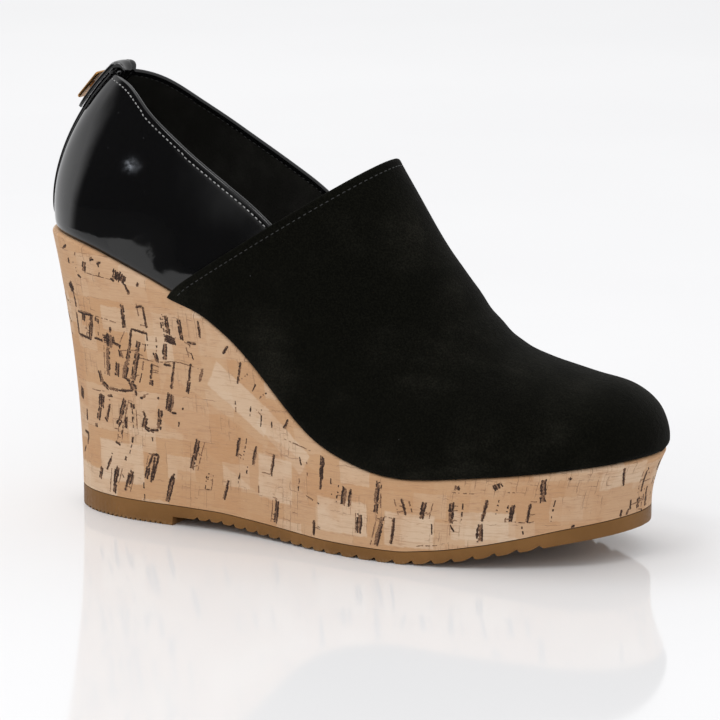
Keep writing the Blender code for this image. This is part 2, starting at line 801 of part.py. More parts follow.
def build_backstay():
    """Stitched strip over the back seam, from above the cork to under the tab."""
    def face(lift):
        def at(row, y):
            point, _, out = back_frame(y, STRIP_CLIMBS[row])
            return point + lift * out
        return at
    strip_between("backstay", range(len(STRIP_CLIMBS)), rounded_width(STRIP_WIDTH, STRIP_ENDS),
                  PATENT_BLACK, face(FIT_GAP), face(FIT_GAP + STRIP_THICKNESS))


def tab_stations():
    """The tab's way: up the outside, over the top line in a half circle, down the inside."""
    stations = [("outside", climb) for climb in TAB_CLIMBS]
    stations += [("over", math.pi * i / TAB_ARC_STEPS) for i in range(1, TAB_ARC_STEPS)]
    stations += [("inside", climb) for climb in TAB_INNER_CLIMBS]
    return stations


def build_heel_tab():
    stations = tab_stations()

    def face(extra):
        def at(row, y):
            kind, value = stations[row]
            point, up, out = back_frame(y, 1.0 if kind == "over" else value)
            if kind == "outside":
                return point + (TAB_SEAT + extra) * out
            if kind == "inside":
                return point - (TAB_INNER_SEAT + extra) * out
            centre = point + (TAB_SEAT - TAB_INNER_SEAT) / 2 * out + FIT_GAP * up
            radius = (TAB_SEAT + TAB_INNER_SEAT) / 2 + extra
            return centre + radius * (math.cos(value) * out + math.sin(value) * up)
        return at
    strip_between("heel_tab", range(len(stations)), rounded_width(TAB_WIDTH, TAB_ENDS),
                  PATENT_BLACK, face(0.0), face(TAB_THICKNESS))


def rounded_rectangle(length, width, corner, steps=4):
    """Corners of a rounded rectangle, counterclockwise."""
    outline = []
    for turn in range(4):
        middle_x = (length / 2 - corner) * (1 if turn in (0, 3) else -1)
        middle_y = (width / 2 - corner) * (1 if turn in (0, 1) else -1)
        for i in range(steps + 1):
            angle = math.pi / 2 * (turn + i / steps)
            outline.append((middle_x + corner * math.cos(angle), middle_y + corner * math.sin(angle)))
    return outline


def build_heel_plate():
    """Bare metal plate on the tab, on a short stud."""
    outline = rounded_rectangle(PLATE_LENGTH, PLATE_WIDTH, PLATE_CORNER)
    shy = rounded_rectangle(PLATE_LENGTH - 2 * PLATE_CHAMFER, PLATE_WIDTH - 2 * PLATE_CHAMFER,
                            PLATE_CORNER - PLATE_CHAMFER)
    stud = [(STUD_RADIUS * math.cos(math.atan2(y, x)), STUD_RADIUS * math.sin(math.atan2(y, x)))
            for x, y in outline]
    loops = [(stud, FIT_GAP - PLATE_LIFT), (stud, 0.0), (shy, 0.0), (outline, PLATE_CHAMFER),
             (outline, PLATE_THICKNESS - PLATE_CHAMFER), (shy, PLATE_THICKNESS)]
    point, up, out = back_frame(0.0, PLATE_CLIMB)
    seat_point = point + (TAB_SEAT + TAB_THICKNESS + PLATE_LIFT) * out
    turned = Matrix.Rotation(PLATE_LEAN, 3, "Y")
    along = turned @ Vector(up)
    away = turned @ Vector(out)
    across = away.cross(along)
    points = [Vector(seat_point) + x * along + y * across + height * away
              for loop, height in loops for x, y in loop]
    count = len(outline)
    faces = [tuple(range(count))[::-1], tuple(range(len(points) - count, len(points)))]
    for ring in range(len(loops) - 1):
        for i in range(count):
            a, b = ring * count + i, ring * count + (i + 1) % count
            faces.append((a, b, b + count, a + count))
    add_piece("heel_plate", points, faces, BRASS, crease=30)


for old in list(bpy.data.objects):
    bpy.data.objects.remove(old, do_unlink=True)

shoe = bpy.data.objects.new("shoe", None)
shoe.location = (-HEEL_MIDDLE, 0.0, 0.0)
bpy.context.collection.objects.link(shoe)

upper_sheet = Sheet()
build_outsole()
build_wedge()
build_insole(upper_sheet)
build_upper(upper_sheet)
build_vamp(upper_sheet)
build_backstay()
build_heel_tab()
build_heel_plate()
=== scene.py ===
"""The looks of the right wedge loafer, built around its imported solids.

Metres, in the shoe's own frame: +X to the toe, +Z up, -Y the outer side. The shoe's sizes and tables
are those of its construction, so the finer surfaces here lie where its solids are. As there, lengths
along the shoe are measured from the back edge of the heel's sole, and each piece is moved at the end
so that the origin lies under the middle of the heel.
"""

import functools
import json
import math
import random

import bpy
import numpy as np
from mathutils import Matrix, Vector

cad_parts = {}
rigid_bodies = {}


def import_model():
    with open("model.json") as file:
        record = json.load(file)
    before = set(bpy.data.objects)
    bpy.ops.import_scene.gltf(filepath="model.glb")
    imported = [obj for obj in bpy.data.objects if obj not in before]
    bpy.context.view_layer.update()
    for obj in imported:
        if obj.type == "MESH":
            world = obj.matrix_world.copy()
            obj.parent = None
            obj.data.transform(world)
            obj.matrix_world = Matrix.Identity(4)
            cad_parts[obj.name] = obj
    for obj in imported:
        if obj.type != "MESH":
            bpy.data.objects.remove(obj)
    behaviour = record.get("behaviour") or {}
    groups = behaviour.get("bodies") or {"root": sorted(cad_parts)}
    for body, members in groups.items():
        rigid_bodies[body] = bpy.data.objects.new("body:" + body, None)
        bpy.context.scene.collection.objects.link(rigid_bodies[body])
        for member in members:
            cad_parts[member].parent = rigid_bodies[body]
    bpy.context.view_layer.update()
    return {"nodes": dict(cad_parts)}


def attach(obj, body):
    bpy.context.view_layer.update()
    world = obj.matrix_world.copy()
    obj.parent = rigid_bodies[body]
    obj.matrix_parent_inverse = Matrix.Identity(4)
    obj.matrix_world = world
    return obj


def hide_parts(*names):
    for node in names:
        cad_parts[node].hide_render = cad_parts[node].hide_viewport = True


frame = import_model()

# Sizes of the shoe
SEAT_LENGTH = 0.2400       # edge of the cork under the foot, heel to toe
BALL_WIDTH = 0.0890        # the same edge across the ball
HEEL_HEIGHT = 0.1042       # floor to the seat at the back
PLATFORM_HEIGHT = 0.0305   # floor to the seat under the ball
SEAT_TOE_RISE = 0.0076     # the seat at the tip above the seat under the ball
HEEL_OVERHANG = 0.0114     # seat behind the sole at the back
TOE_OVERHANG = 0.0050      # seat ahead of the sole at the tip
SOLE_THICKNESS = 0.0046    # rubber under the ball
HEEL_STEP = 0.0032         # the heel's sole below the waist of the sole
HEEL_BREAST = 0.0510       # back edge of the sole to that step
TOE_SPRING = 0.0115        # sole lifted at the tip of the toe
FLARE_POWER = 1.9          # how late the wedge's side turns outward as it climbs
ROLL_RADIUS = 0.0016       # rounded top edge of the cork

# Tread under the waist and the ball
WAIST_PITCH = 0.0052
BALL_PITCH = 0.0072
WAIST_TOOTH = 0.0011
BALL_TOOTH = 0.0013
BALL_TEETH_SHARE = 0.53    # where the larger teeth start and where all end, along the sole
TEETH_END_SHARE = 0.86

# Sizes of the upper
COUNTER_HEIGHT = 0.0586    # seat to the top line at the back
PEAK_RISE = 0.0316         # tongue-shaped top of the vamp above the seat at the back
WALL = 0.0016              # quarter leather with its lining
SUEDE = 0.0013             # vamp over the wall
INSOLE = 0.0020
BACK_LIP = 0.0013          # cork outside the upper at the back
FRONT_LIP = 0.0006         # cork outside the wall at the toe

# Back strip and pull tab
STRIP_WIDTH = 0.0110
STRIP_THICKNESS = 0.0009
TAB_WIDTH = 0.0120
TAB_THICKNESS = 0.0013

FIT_GAP = 0.0003           # between pieces that touch

# The seat from heel to toe: shares of the seat's length, of half the ball width, of half the ball
# width, of how far the heel stands above the ball, and of the seat's rise at the toe
SEAT = (
    # along, outer, inner, swing, pitch, toe
    (0.0000, 0.000, 0.000, 0.000, 1.000, 0.00),
    (0.0117, 0.247, 0.247, 0.000, 0.996, 0.00),
    (0.0525, 0.483, 0.483, 0.000, 0.981, 0.00),
    (0.1150, 0.629, 0.620, 0.000, 0.943, 0.00),
    (0.1858, 0.697, 0.674, 0.000, 0.866, 0.00),
    (0.2625, 0.760, 0.708, 0.000, 0.775, 0.00),
    (0.3233, 0.787, 0.708, 0.000, 0.669, 0.00),
    (0.3858, 0.816, 0.708, 0.000, 0.529, 0.00),
    (0.4525, 0.861, 0.737, 0.000, 0.319, 0.00),
    (0.5150, 0.919, 0.804, 0.000, 0.142, 0.00),
    (0.5817, 0.984, 0.888, 0.000, 0.046, 0.00),
    (0.6567, 1.034, 0.966, 0.000, 0.000, 0.00),
    (0.7400, 1.011, 0.989, 0.000, 0.000, 0.14),
    (0.8150, 0.921, 0.933, 0.011, 0.000, 0.37),
    (0.8775, 0.816, 0.831, 0.027, 0.000, 0.59),
    (0.9275, 0.681, 0.697, 0.040, 0.000, 0.79),
    (0.9650, 0.506, 0.528, 0.054, 0.000, 0.91),
    (0.9900, 0.270, 0.283, 0.063, 0.000, 0.99),
    (1.0000, 0.000, 0.000, 0.067, 0.000, 1.00),
)

# The sole's outline under the same rows, as shares of half the ball width
SOLE_OUTER = (0.000, 0.225, 0.456, 0.607, 0.670, 0.692, 0.715, 0.764, 0.854, 0.951,
              1.027, 1.056, 1.018, 0.921, 0.793, 0.645, 0.467, 0.243, 0.000)
SOLE_INNER = (0.000, 0.225, 0.456, 0.603, 0.656, 0.640, 0.618, 0.629, 0.697, 0.798,
              0.888, 0.962, 0.971, 0.903, 0.793, 0.663, 0.490, 0.258, 0.000)

# The tread's lowest line and the rubber's thickness along the sole: shares of the sole's length, of
# the step at the heel, of the toe spring and of the sole's thickness
TREAD = (
    # along, arch, spring, thick
    (0.000, 1.00, 0.00, 1.04),
    (0.220, 1.00, 0.00, 1.00),
    (0.305, 0.97, 0.00, 0.94),
    (0.380, 0.53, 0.00, 1.02),
    (0.460, 0.20, 0.00, 1.05),
    (0.545, 0.00, 0.00, 1.04),
    (0.660, 0.00, 0.00, 1.02),
    (0.720, 0.00, 0.09, 1.07),
    (0.787, 0.00, 0.29, 1.06),
    (0.853, 0.00, 0.53, 1.10),
    (0.920, 0.00, 0.78, 1.20),
    (1.000, 0.00, 1.00, 1.25),
)

# The top line from the back seam to where the vamp covers it: shares of the seat's length, of half
# the ball width and of the counter's height above the seat at the back
COLLAR = (
    # along, half, rise
    (0.1058, 0.000, 1.000),
    (0.1142, 0.146, 0.995),
    (0.1525, 0.297, 0.947),
    (0.2000, 0.449, 0.812),
    (0.2467, 0.535, 0.681),
    (0.2863, 0.580, 0.572),
    (0.3229, 0.607, 0.476),
    (0.3588, 0.625, 0.382),
    (0.3933, 0.638, 0.288),
)

# How the quarter's strips bulge, from the back seam forward: where each handle stands along the
# strip's chord, and how far outside it, as a share of the counter's height
QUARTER = (
    # share, low, low_out, high, high_out
    (0.00, 0.264, 0.189, 0.694, 0.184),
    (0.17, 0.270, 0.153, 0.690, 0.158),
    (0.35, 0.280, 0.108, 0.685, 0.120),
    (0.60, 0.290, 0.072, 0.680, 0.082),
    (0.80, 0.293, 0.053, 0.672, 0.061),
)

# The vamp's ridge from its peak to the tip: shares of the seat's length and of the peak's height
# above the seat at the tip
RIDGE = (
    # along, rise
    (0.5658, 1.000),
    (0.6117, 0.822),
    (0.6496, 0.678),
    (0.6913, 0.542),
    (0.7250, 0.429),
    (0.7575, 0.354),
    (0.7992, 0.304),
    (0.8517, 0.269),
    (0.8933, 0.246),
    (0.9333, 0.227),
    (0.9621, 0.191),
    (0.9833, 0.140),
    (0.9950, 0.086),
    (0.9983, 0.037),
    (0.9975, 0.000),
)

THROAT_ALONG = 0.2625      # where the vamp's edge meets the seat, as a share of the seat
COLLAR_CROSSING = 0.43     # where the top line passes under that edge, as a share of its curve

# The vamp's strips from the throat to the tip: the seat's share where each starts and the ridge's
# share where it ends, then the two handles as shares of the climb and of the half width
VAMP = (
    # seat, ridge, low, low_half, high_half
    (THROAT_ALONG, 0.000, 0.38, 1.110, 0.82),
    (0.4525, 0.260, 0.42, 1.070, 0.72),
    (0.5817, 0.400, 0.45, 1.040, 0.64),
    (0.6567, 0.490, 0.47, 1.030, 0.60),
    (0.7400, 0.585, 0.50, 1.030, 0.58),
    (0.8150, 0.670, 0.52, 1.035, 0.57),
    (0.8775, 0.750, 0.54, 1.040, 0.57),
    (0.9275, 0.820, 0.55, 1.045, 0.58),
    (0.9650, 0.880, 0.55, 1.050, 0.58),
    (0.9900, 0.940, 0.55, 1.050, 0.58),
    (1.0000, 1.000, 0.55, 1.050, 0.58),
)

# The photograph's camera: a level one with a lens shifted down, in its 720 pixels
PHOTO_EYE = np.array([0.7466, -1.3336, 0.3633])
PHOTO_AZIMUTH = math.radians(25)
PHOTO_RIGHT = np.array([math.cos(PHOTO_AZIMUTH), math.sin(PHOTO_AZIMUTH), 0.0])
PHOTO_AHEAD = np.array([-math.sin(PHOTO_AZIMUTH), math.cos(PHOTO_AZIMUTH), 0.0])
PHOTO_FOCAL = 2820
PHOTO_MIDDLE_COLUMN = 360
PHOTO_HORIZON_ROW = -98
PHOTO_SHOE_CENTRE = (339, 478)   # pixel in the middle of the shoe that is built
PHOTO_SHOE_SPAN = 500            # pixels of the photograph that the picture's side covers
PICTURE_SIDE = 720
SENSOR_WIDTH = 36.0              # in millimetres
CLIP_FROM = 0.05
CLIP_TO = 50.0

OUTER = -1
INNER = 1
SIDES = (OUTER, INNER)

SOLE_LENGTH = SEAT_LENGTH - HEEL_OVERHANG - TOE_OVERHANG
HALF_BALL = BALL_WIDTH / 2
HEEL_MIDDLE = HEEL_BREAST / 2

# How far apart two places are taken to find the direction between them
NEAR_SHARE = 1e-3
NEAR_ACROSS = 0.0015
NEAR_CLIMB = 0.02


def hermite(knots, values, tangent):
    """The cubic curve with these values and slopes at its knots."""
    step = np.diff(knots)

    def at(where):
        where = np.clip(where, knots[0], knots[-1])
        i = np.clip(np.searchsorted(knots, where, side="right") - 1, 0, len(knots) - 2)
        t = (where - knots[i]) / step[i]
        start = (1 + 2 * t) * (1 - t) ** 2 * values[i] + t * (1 - t) ** 2 * step[i] * tangent[i]
        end = t * t * (3 - 2 * t) * values[i + 1] - t * t * (1 - t) * step[i] * tangent[i + 1]
        return start + end

    return at


def steady_curve(knots, values):
    """A smooth curve that is level wherever two neighbouring values are equal."""
    slope = np.diff(values) / np.diff(knots)
    before, after = slope[:-1], slope[1:]
    same_way = before * after > 0
    safe = np.where(same_way, before + after, 1.0)
    inner = np.where(same_way, 2 * before * after / safe, 0.0)
    return hermite(knots, values, np.concatenate(([slope[0]], inner, [slope[-1]])))


def spline(knots, values, level_start, level_end):
    """A smooth curve through values. A level end arrives flat, any other end arrives straight."""
    knots = np.asarray(knots, float)
    values = np.asarray(values, float)
    step = np.diff(knots)
    slope = np.diff(values) / step
    count = len(knots)
    system = np.zeros((count, count))
    right = np.zeros(count)
    for i in range(1, count - 1):
        system[i, i - 1:i + 2] = step[i], 2 * (step[i - 1] + step[i]), step[i - 1]
        right[i] = 3 * (step[i] * slope[i - 1] + step[i - 1] * slope[i])
    system[0, 0] = system[-1, -1] = 1.0
    if not level_start:
        system[0, :2] = 2.0, 1.0
        right[0] = 3 * slope[0]
    if not level_end:
        system[-1, -2:] = 1.0, 2.0
        right[-1] = 3 * slope[-1]
    return hermite(knots, values, np.linalg.solve(system, right))


def reach_along(points):
    """How far along a chain of points each one lies."""
    steps = np.linalg.norm(np.diff(np.asarray(points, float), axis=0), axis=1)
    return np.concatenate(([0.0], np.cumsum(steps)))


def running_length(points):
    """How far along a chain of points each one lies, as a share of the whole."""
    reach = reach_along(points)
    return reach / reach[-1]


def crowded_ends(count):
    """Shares from 0 to 1 that lie closer together near both ends."""
    even = np.linspace(0, 1, count)
    return 0.5 * even + 0.25 * (1 - np.cos(even * math.pi))


def cubic(start, low, high, end, t):
    """A point of a cubic Bezier curve."""
    return ((1 - t) ** 3 * start + 3 * t * (1 - t) ** 2 * low
            + 3 * t * t * (1 - t) * high + t ** 3 * end)


def unit(vector):
    return vector / np.linalg.norm(vector)


# The shoe's surfaces, as its construction has them

seat_rows = np.array(SEAT)
seat_plan = np.stack((seat_rows[:, 0] * SEAT_LENGTH, seat_rows[:, 1] * HALF_BALL), axis=1)
seat_knots = running_length(seat_plan)
plan_length = reach_along(seat_plan)[-1]
seat_along = spline(seat_knots, seat_rows[:, 0], True, True)
seat_swing = spline(seat_knots, seat_rows[:, 3], True, True)
seat_pitch = spline(seat_knots, seat_rows[:, 4], True, True)
seat_toe = spline(seat_knots, seat_rows[:, 5], True, True)
seat_half = {OUTER: spline(seat_knots, seat_rows[:, 1], False, False),
             INNER: spline(seat_knots, seat_rows[:, 2], False, False)}
sole_half = {OUTER: spline(seat_knots, SOLE_OUTER, False, False),
             INNER: spline(seat_knots, SOLE_INNER, False, False)}
fine_shares = np.linspace(0, 1, 801)
throat_share = float(np.interp(THROAT_ALONG, seat_along(fine_shares), fine_shares))


def along_to_x(along):
    """A share of the seat's length as a distance from the sole's back edge."""
    return along * SEAT_LENGTH - HEEL_OVERHANG


def seat(share, side):
    """The edge of the cork under the foot, from the back (0) to the tip (1)."""
    height = (PLATFORM_HEIGHT + (HEEL_HEIGHT - PLATFORM_HEIGHT) * seat_pitch(share)
              + SEAT_TOE_RISE * seat_toe(share))
    y = HALF_BALL * (seat_swing(share) + side * seat_half[side](share))
    return np.array([along_to_x(seat_along(share)), y, height])


def seat_outward(share, side):
    """Level direction out of the seat's edge."""
    before = seat(max(share - NEAR_SHARE, 0.0), side)
    after = seat(min(share + NEAR_SHARE, 1.0), side)
    run = after - before
    if share < NEAR_SHARE or share > 1 - NEAR_SHARE:
        run[0] = 0.0
    return unit(side * np.array([-run[1], run[0], 0.0]))


STATIONS = np.concatenate((throat_share * np.linspace(0, 1, 13) ** 1.35,
                           throat_share + (1 - throat_share) * np.linspace(0, 1, 61)[1:]))
STATION_X = [seat(share, OUTER)[0] for share in STATIONS]
STATION_Z = [seat(share, OUTER)[2] for share in STATIONS]


def seat_height(x):
    """Height of the seat's surface, which is straight across."""
    return float(np.interp(x, STATION_X, STATION_Z))


tread_rows = np.array(TREAD)
tread_arch, tread_spring, tread_thick = (
    steady_curve(tread_rows[:, 0], tread_rows[:, column]) for column in (1, 2, 3))


def tread_line(x):
    """Lowest line of the sole ahead of the heel, before the heel's step down to the floor."""
    along = x / SOLE_LENGTH
    return HEEL_STEP * tread_arch(along) + TOE_SPRING * tread_spring(along)


def cork_floor(x):
    """Height of the cork's underside."""
    return tread_line(x) + SOLE_THICKNESS * tread_thick(x / SOLE_LENGTH)


def sole_edge(share, side):
    """Outline of the cork's underside, below the seat's edge at the same share."""
    x = float(seat_along(share)) * SOLE_LENGTH
    y = HALF_BALL * (seat_swing(share) + side * sole_half[side](share))
    return np.array([x, y, cork_floor(x)])


def wall_foot(share, side):
    """Bottom edge of the upper's wall, inside the cork's lip."""
    lip = BACK_LIP + (FRONT_LIP - BACK_LIP) * seat_along(share)
    point = seat(share, side) - lip * seat_outward(share, side)
    point[2] = seat_height(point[0]) + FIT_GAP
    return point


ridge_rows = np.array(RIDGE)
ridge_x = along_to_x(ridge_rows[:, 0])
tip_height = PLATFORM_HEIGHT + SEAT_TOE_RISE + FIT_GAP
ridge_z = tip_height + ridge_rows[:, 1] * (HEEL_HEIGHT + PEAK_RISE - tip_height)
ridge_knots = running_length(np.stack((ridge_x, ridge_z), axis=1))
ridge_x_at = spline(ridge_knots, ridge_x, False, False)
ridge_z_at = spline(ridge_knots, ridge_z, False, False)
vamp_rows = np.array(VAMP)
vamp_ridge, vamp_low, vamp_low_half, vamp_high_half = (
    spline(vamp_rows[:, 0], vamp_rows[:, column], False, False) for column in (1, 2, 3, 4))


def vamp_handles(share, side):
    """Foot, two handles and top of the vamp's strip that starts at this share of the seat."""
    along = float(seat_along(share))
    foot = wall_foot(share, side)
    ridge = float(vamp_ridge(along))
    top = np.array([ridge_x_at(ridge), HALF_BALL * seat_swing(share), ridge_z_at(ridge)])
    if share >= 1:
        top = foot.copy()
    low = foot + vamp_low(along) * (top - foot)
    low[1] = top[1] + vamp_low_half(along) * (foot[1] - top[1])
    high = top.copy()
    high[1] = top[1] + vamp_high_half(along) * (foot[1] - top[1])
    return foot, low, high, top


def split(start, low, high, end, t):
    """The first part of a cubic Bezier curve, up to t, as a curve of its own."""
    first = start + t * (low - start)
    middle = low + t * (high - low)
    last = high + t * (end - high)
    second = first + t * (middle - first)
    third = second + t * (middle + t * (last - middle) - second)
    return start, first, second, third


collar_rows = np.array(COLLAR)
quarter_rows = np.array(QUARTER)


def collar_curve(side):
    """The top line on one side, from the back seam to its crossing with the vamp's edge."""
    crossing = split(*vamp_handles(throat_share, side), COLLAR_CROSSING)[3]
    x = np.append(along_to_x(collar_rows[:, 0]), crossing[0])
    y = np.append(side * HALF_BALL * collar_rows[:, 1], crossing[1])
    z = np.append(HEEL_HEIGHT + COUNTER_HEIGHT * collar_rows[:, 2], crossing[2])
    knots = running_length(np.stack((x, y, z), axis=1))
    return (spline(knots, x, True, False), spline(knots, y, False, False),
            spline(knots, z, True, False))


COLLAR_CURVES = {side: collar_curve(side) for side in SIDES}


def throat_bulge(side):
    """The last row of the quarter's table, which is the vamp's own edge up to the crossing."""
    foot, low, high, top = split(*vamp_handles(throat_share, side), COLLAR_CROSSING)
    chord = top - foot
    row = [1.0]
    for handle in (low, high):
        share = (handle[0] - foot[0]) / chord[0]
        row += [share, side * (handle[1] - foot[1] - share * chord[1]) / COUNTER_HEIGHT]
    return row


def quarter_curves(side):
    rows = np.vstack((quarter_rows, throat_bulge(side)))
    return [spline(rows[:, 0], rows[:, column], True, False) for column in (1, 2, 3, 4)]


QUARTER_CURVES = {side: quarter_curves(side) for side in SIDES}


@functools.lru_cache(maxsize=None)
def quarter_handles(share, side):
    """Foot, two handles and top of the quarter's strip, from the back seam (0) to the throat (1)."""
    station = share * throat_share
    foot = wall_foot(station, side)
    top = np.array([float(curve(share)) for curve in COLLAR_CURVES[side]])
    outward = seat_outward(station, side)
    outward[0] *= 1 - share ** 2
    outward = unit(outward)
    low, low_out, high, high_out = (float(curve(share)) for curve in QUARTER_CURVES[side])
    chord = top - foot
    return (foot, foot + low * chord + low_out * COUNTER_HEIGHT * outward,
            foot + high * chord + high_out * COUNTER_HEIGHT * outward, top)


def quarter_point(share, side, climb):
    return cubic(*quarter_handles(share, side), climb)


# Meshes

ARC_STEPS = 6              # around a rounded edge
TO_ORIGIN = np.array([-HEEL_MIDDLE, 0.0, 0.0])


def drop_repeats(face):
    """A face without the corners that repeat, where a strip ends in a point."""
    return tuple(corner for i, corner in enumerate(face) if corner != face[i - 1])


def grid_faces(columns):
    """Faces between neighbouring columns of equal length."""
    faces = []
    for left, right in zip(columns, columns[1:]):
        for j in range(len(left) - 1):
            face = drop_repeats((left[j], right[j], right[j + 1], left[j + 1]))
            if len(face) > 2:
                faces.append(face)
    return faces


def boundary(faces):
    """Directed edges that only one face uses."""
    edges = {(face[i - 1], face[i]) for face in faces for i in range(len(face))}
    return sorted(edge for edge in edges if (edge[1], edge[0]) not in edges)


def closed_faces(faces, count):
    """Faces of the body between a sheet's points and as many points behind them."""
    behind = [tuple(corner + count for corner in face[::-1]) for face in faces]
    return list(faces) + behind + [(b, a, a + count, b + count) for a, b in boundary(faces)]


def normals_of(points, faces):
    """Smooth normals of a mesh given as points and faces."""
    normals = np.zeros_like(points)
    four = np.array([face if len(face) == 4 else (*face, face[2]) for face in faces])
    a, b, c, d = (points[four[:, i]] for i in range(4))
    across = np.cross(c - a, d - b)
    for i in range(4):
        np.add.at(normals, four[:, i], across)
    return normals / np.maximum(np.linalg.norm(normals, axis=1), 1e-12)[:, None]


def add_piece(name, points, faces, finishes, replaces=(), finish_of=None, uvs=None, crease=40):
    """A piece of the shoe from points and faces. uvs holds a pair for each corner of each face."""
    used = sorted({corner for face in faces for corner in face})
    place = {corner: i for i, corner in enumerate(used)}
    mesh = bpy.data.meshes.new(name)
    mesh.from_pydata([tuple(points[corner] + TO_ORIGIN) for corner in used], [],
                     [tuple(place[corner] for corner in face) for face in faces])
    mesh.shade_smooth()
    mesh.set_sharp_from_angle(angle=math.radians(crease))
    for finish in finishes:
        mesh.materials.append(finish)
    if finish_of is not None:
        mesh.polygons.foreach_set("material_index", finish_of)
    if uvs is not None:
        layer = mesh.uv_layers.new(name="along_and_up")
        layer.data.foreach_set("uv", np.array(uvs, float).ravel())
    piece = bpy.data.objects.new(name, mesh)
    bpy.context.collection.objects.link(piece)
    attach(piece, "root")
    if replaces:
        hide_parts(*replaces)
    return piece


class Sheet:
    """A surface as a grid of points, stations by rows, with its normals and the lengths along it."""

    def __init__(self, grid):
        self.grid = np.array(grid, float)
        stations, rows = self.grid.shape[:2]
        self.ids = np.arange(stations * rows).reshape(stations, rows)
        if np.ptp(self.grid[-1], axis=0).max() < 1e-9:
            self.ids[-1] = self.ids[-1, 0]
        self.points = self.grid.reshape(-1, 3)
        self.faces = grid_faces(self.ids.tolist())
        self.normals = normals_of(self.points, self.faces)
        steps = np.linalg.norm(np.diff(self.grid, axis=0), axis=2)
        self.from_start = np.vstack((np.zeros(rows), np.cumsum(steps, axis=0)))
        steps = np.linalg.norm(np.diff(self.grid, axis=1), axis=2)
        self.from_low = np.hstack((np.zeros((stations, 1)), np.cumsum(steps, axis=1)))
        self.from_high = self.from_low[:, -1:] - self.from_low

    def level_normals(self, rows):
        """Along the bottom edge the wall is measured level, so that it stands flat on the seat."""
        for row in rows:
            for corner in self.ids[:, row]:
                self.normals[corner, 2] = 0.0
                self.normals[corner] = unit(self.normals[corner])


def wall(sheet, high, low, rims):
    """A closed wall between two offsets of a sheet, given per point. rims holds, for each point on a
    rounded edge, the direction off the sheet and how far the rounding stands back from it."""
    count = len(sheet.points)
    high, low = high.ravel(), low.ravel()
    outside = sheet.points + high[:, None] * sheet.normals
    inside = sheet.points + low[:, None] * sheet.normals
    arcs = {}
    extra = []
    for corner, (off, back) in rims.items():
        normal = sheet.normals[corner]
        top, bottom = high[corner], low[corner]
        radius = (top - bottom) / 2
        centre = sheet.points[corner] + (top + bottom) / 2 * normal - (radius + back) * off
        outside[corner] = centre + radius * normal
        inside[corner] = centre - radius * normal
        arcs[corner] = []
        for i in range(1, ARC_STEPS):
            angle = math.pi * i / ARC_STEPS
            arcs[corner].append(2 * count + len(extra))
            extra.append(centre + radius * (math.cos(angle) * normal + math.sin(angle) * off))
    faces = list(sheet.faces) + [tuple(corner + count for corner in face[::-1]) for face in sheet.faces]
    finish_of = [0] * len(sheet.faces) + [1] * len(sheet.faces)
    edges = boundary(sheet.faces)
    rounded = {edge for edge in edges if edge[0] in arcs and edge[1] in arcs}
    for a, b in edges:
        if (a, b) in rounded:
            left, right = [a, *arcs[a], a + count], [b, *arcs[b], b + count]
            faces += [(right[i], left[i], left[i + 1], right[i + 1]) for i in range(ARC_STEPS)]
            finish_of += [0] * ARC_STEPS
        else:
            faces.append((b, a, a + count, b + count))
            finish_of.append(1)
    for a, b in edges:
        if (a, b) not in rounded:
            if a in arcs:
                faces.append((a, *arcs[a], a + count))
                finish_of.append(1)
            if b in arcs:
                faces.append((b + count, *arcs[b][::-1], b))
                finish_of.append(1)
    points = np.vstack((outside, inside, np.array(extra).reshape(-1, 3)))
    return points, faces, finish_of


def smooth_step(low, high, value):
    share = np.clip((value - low) / (high - low), 0, 1)
    return share * share * (3 - 2 * share)


# Materials

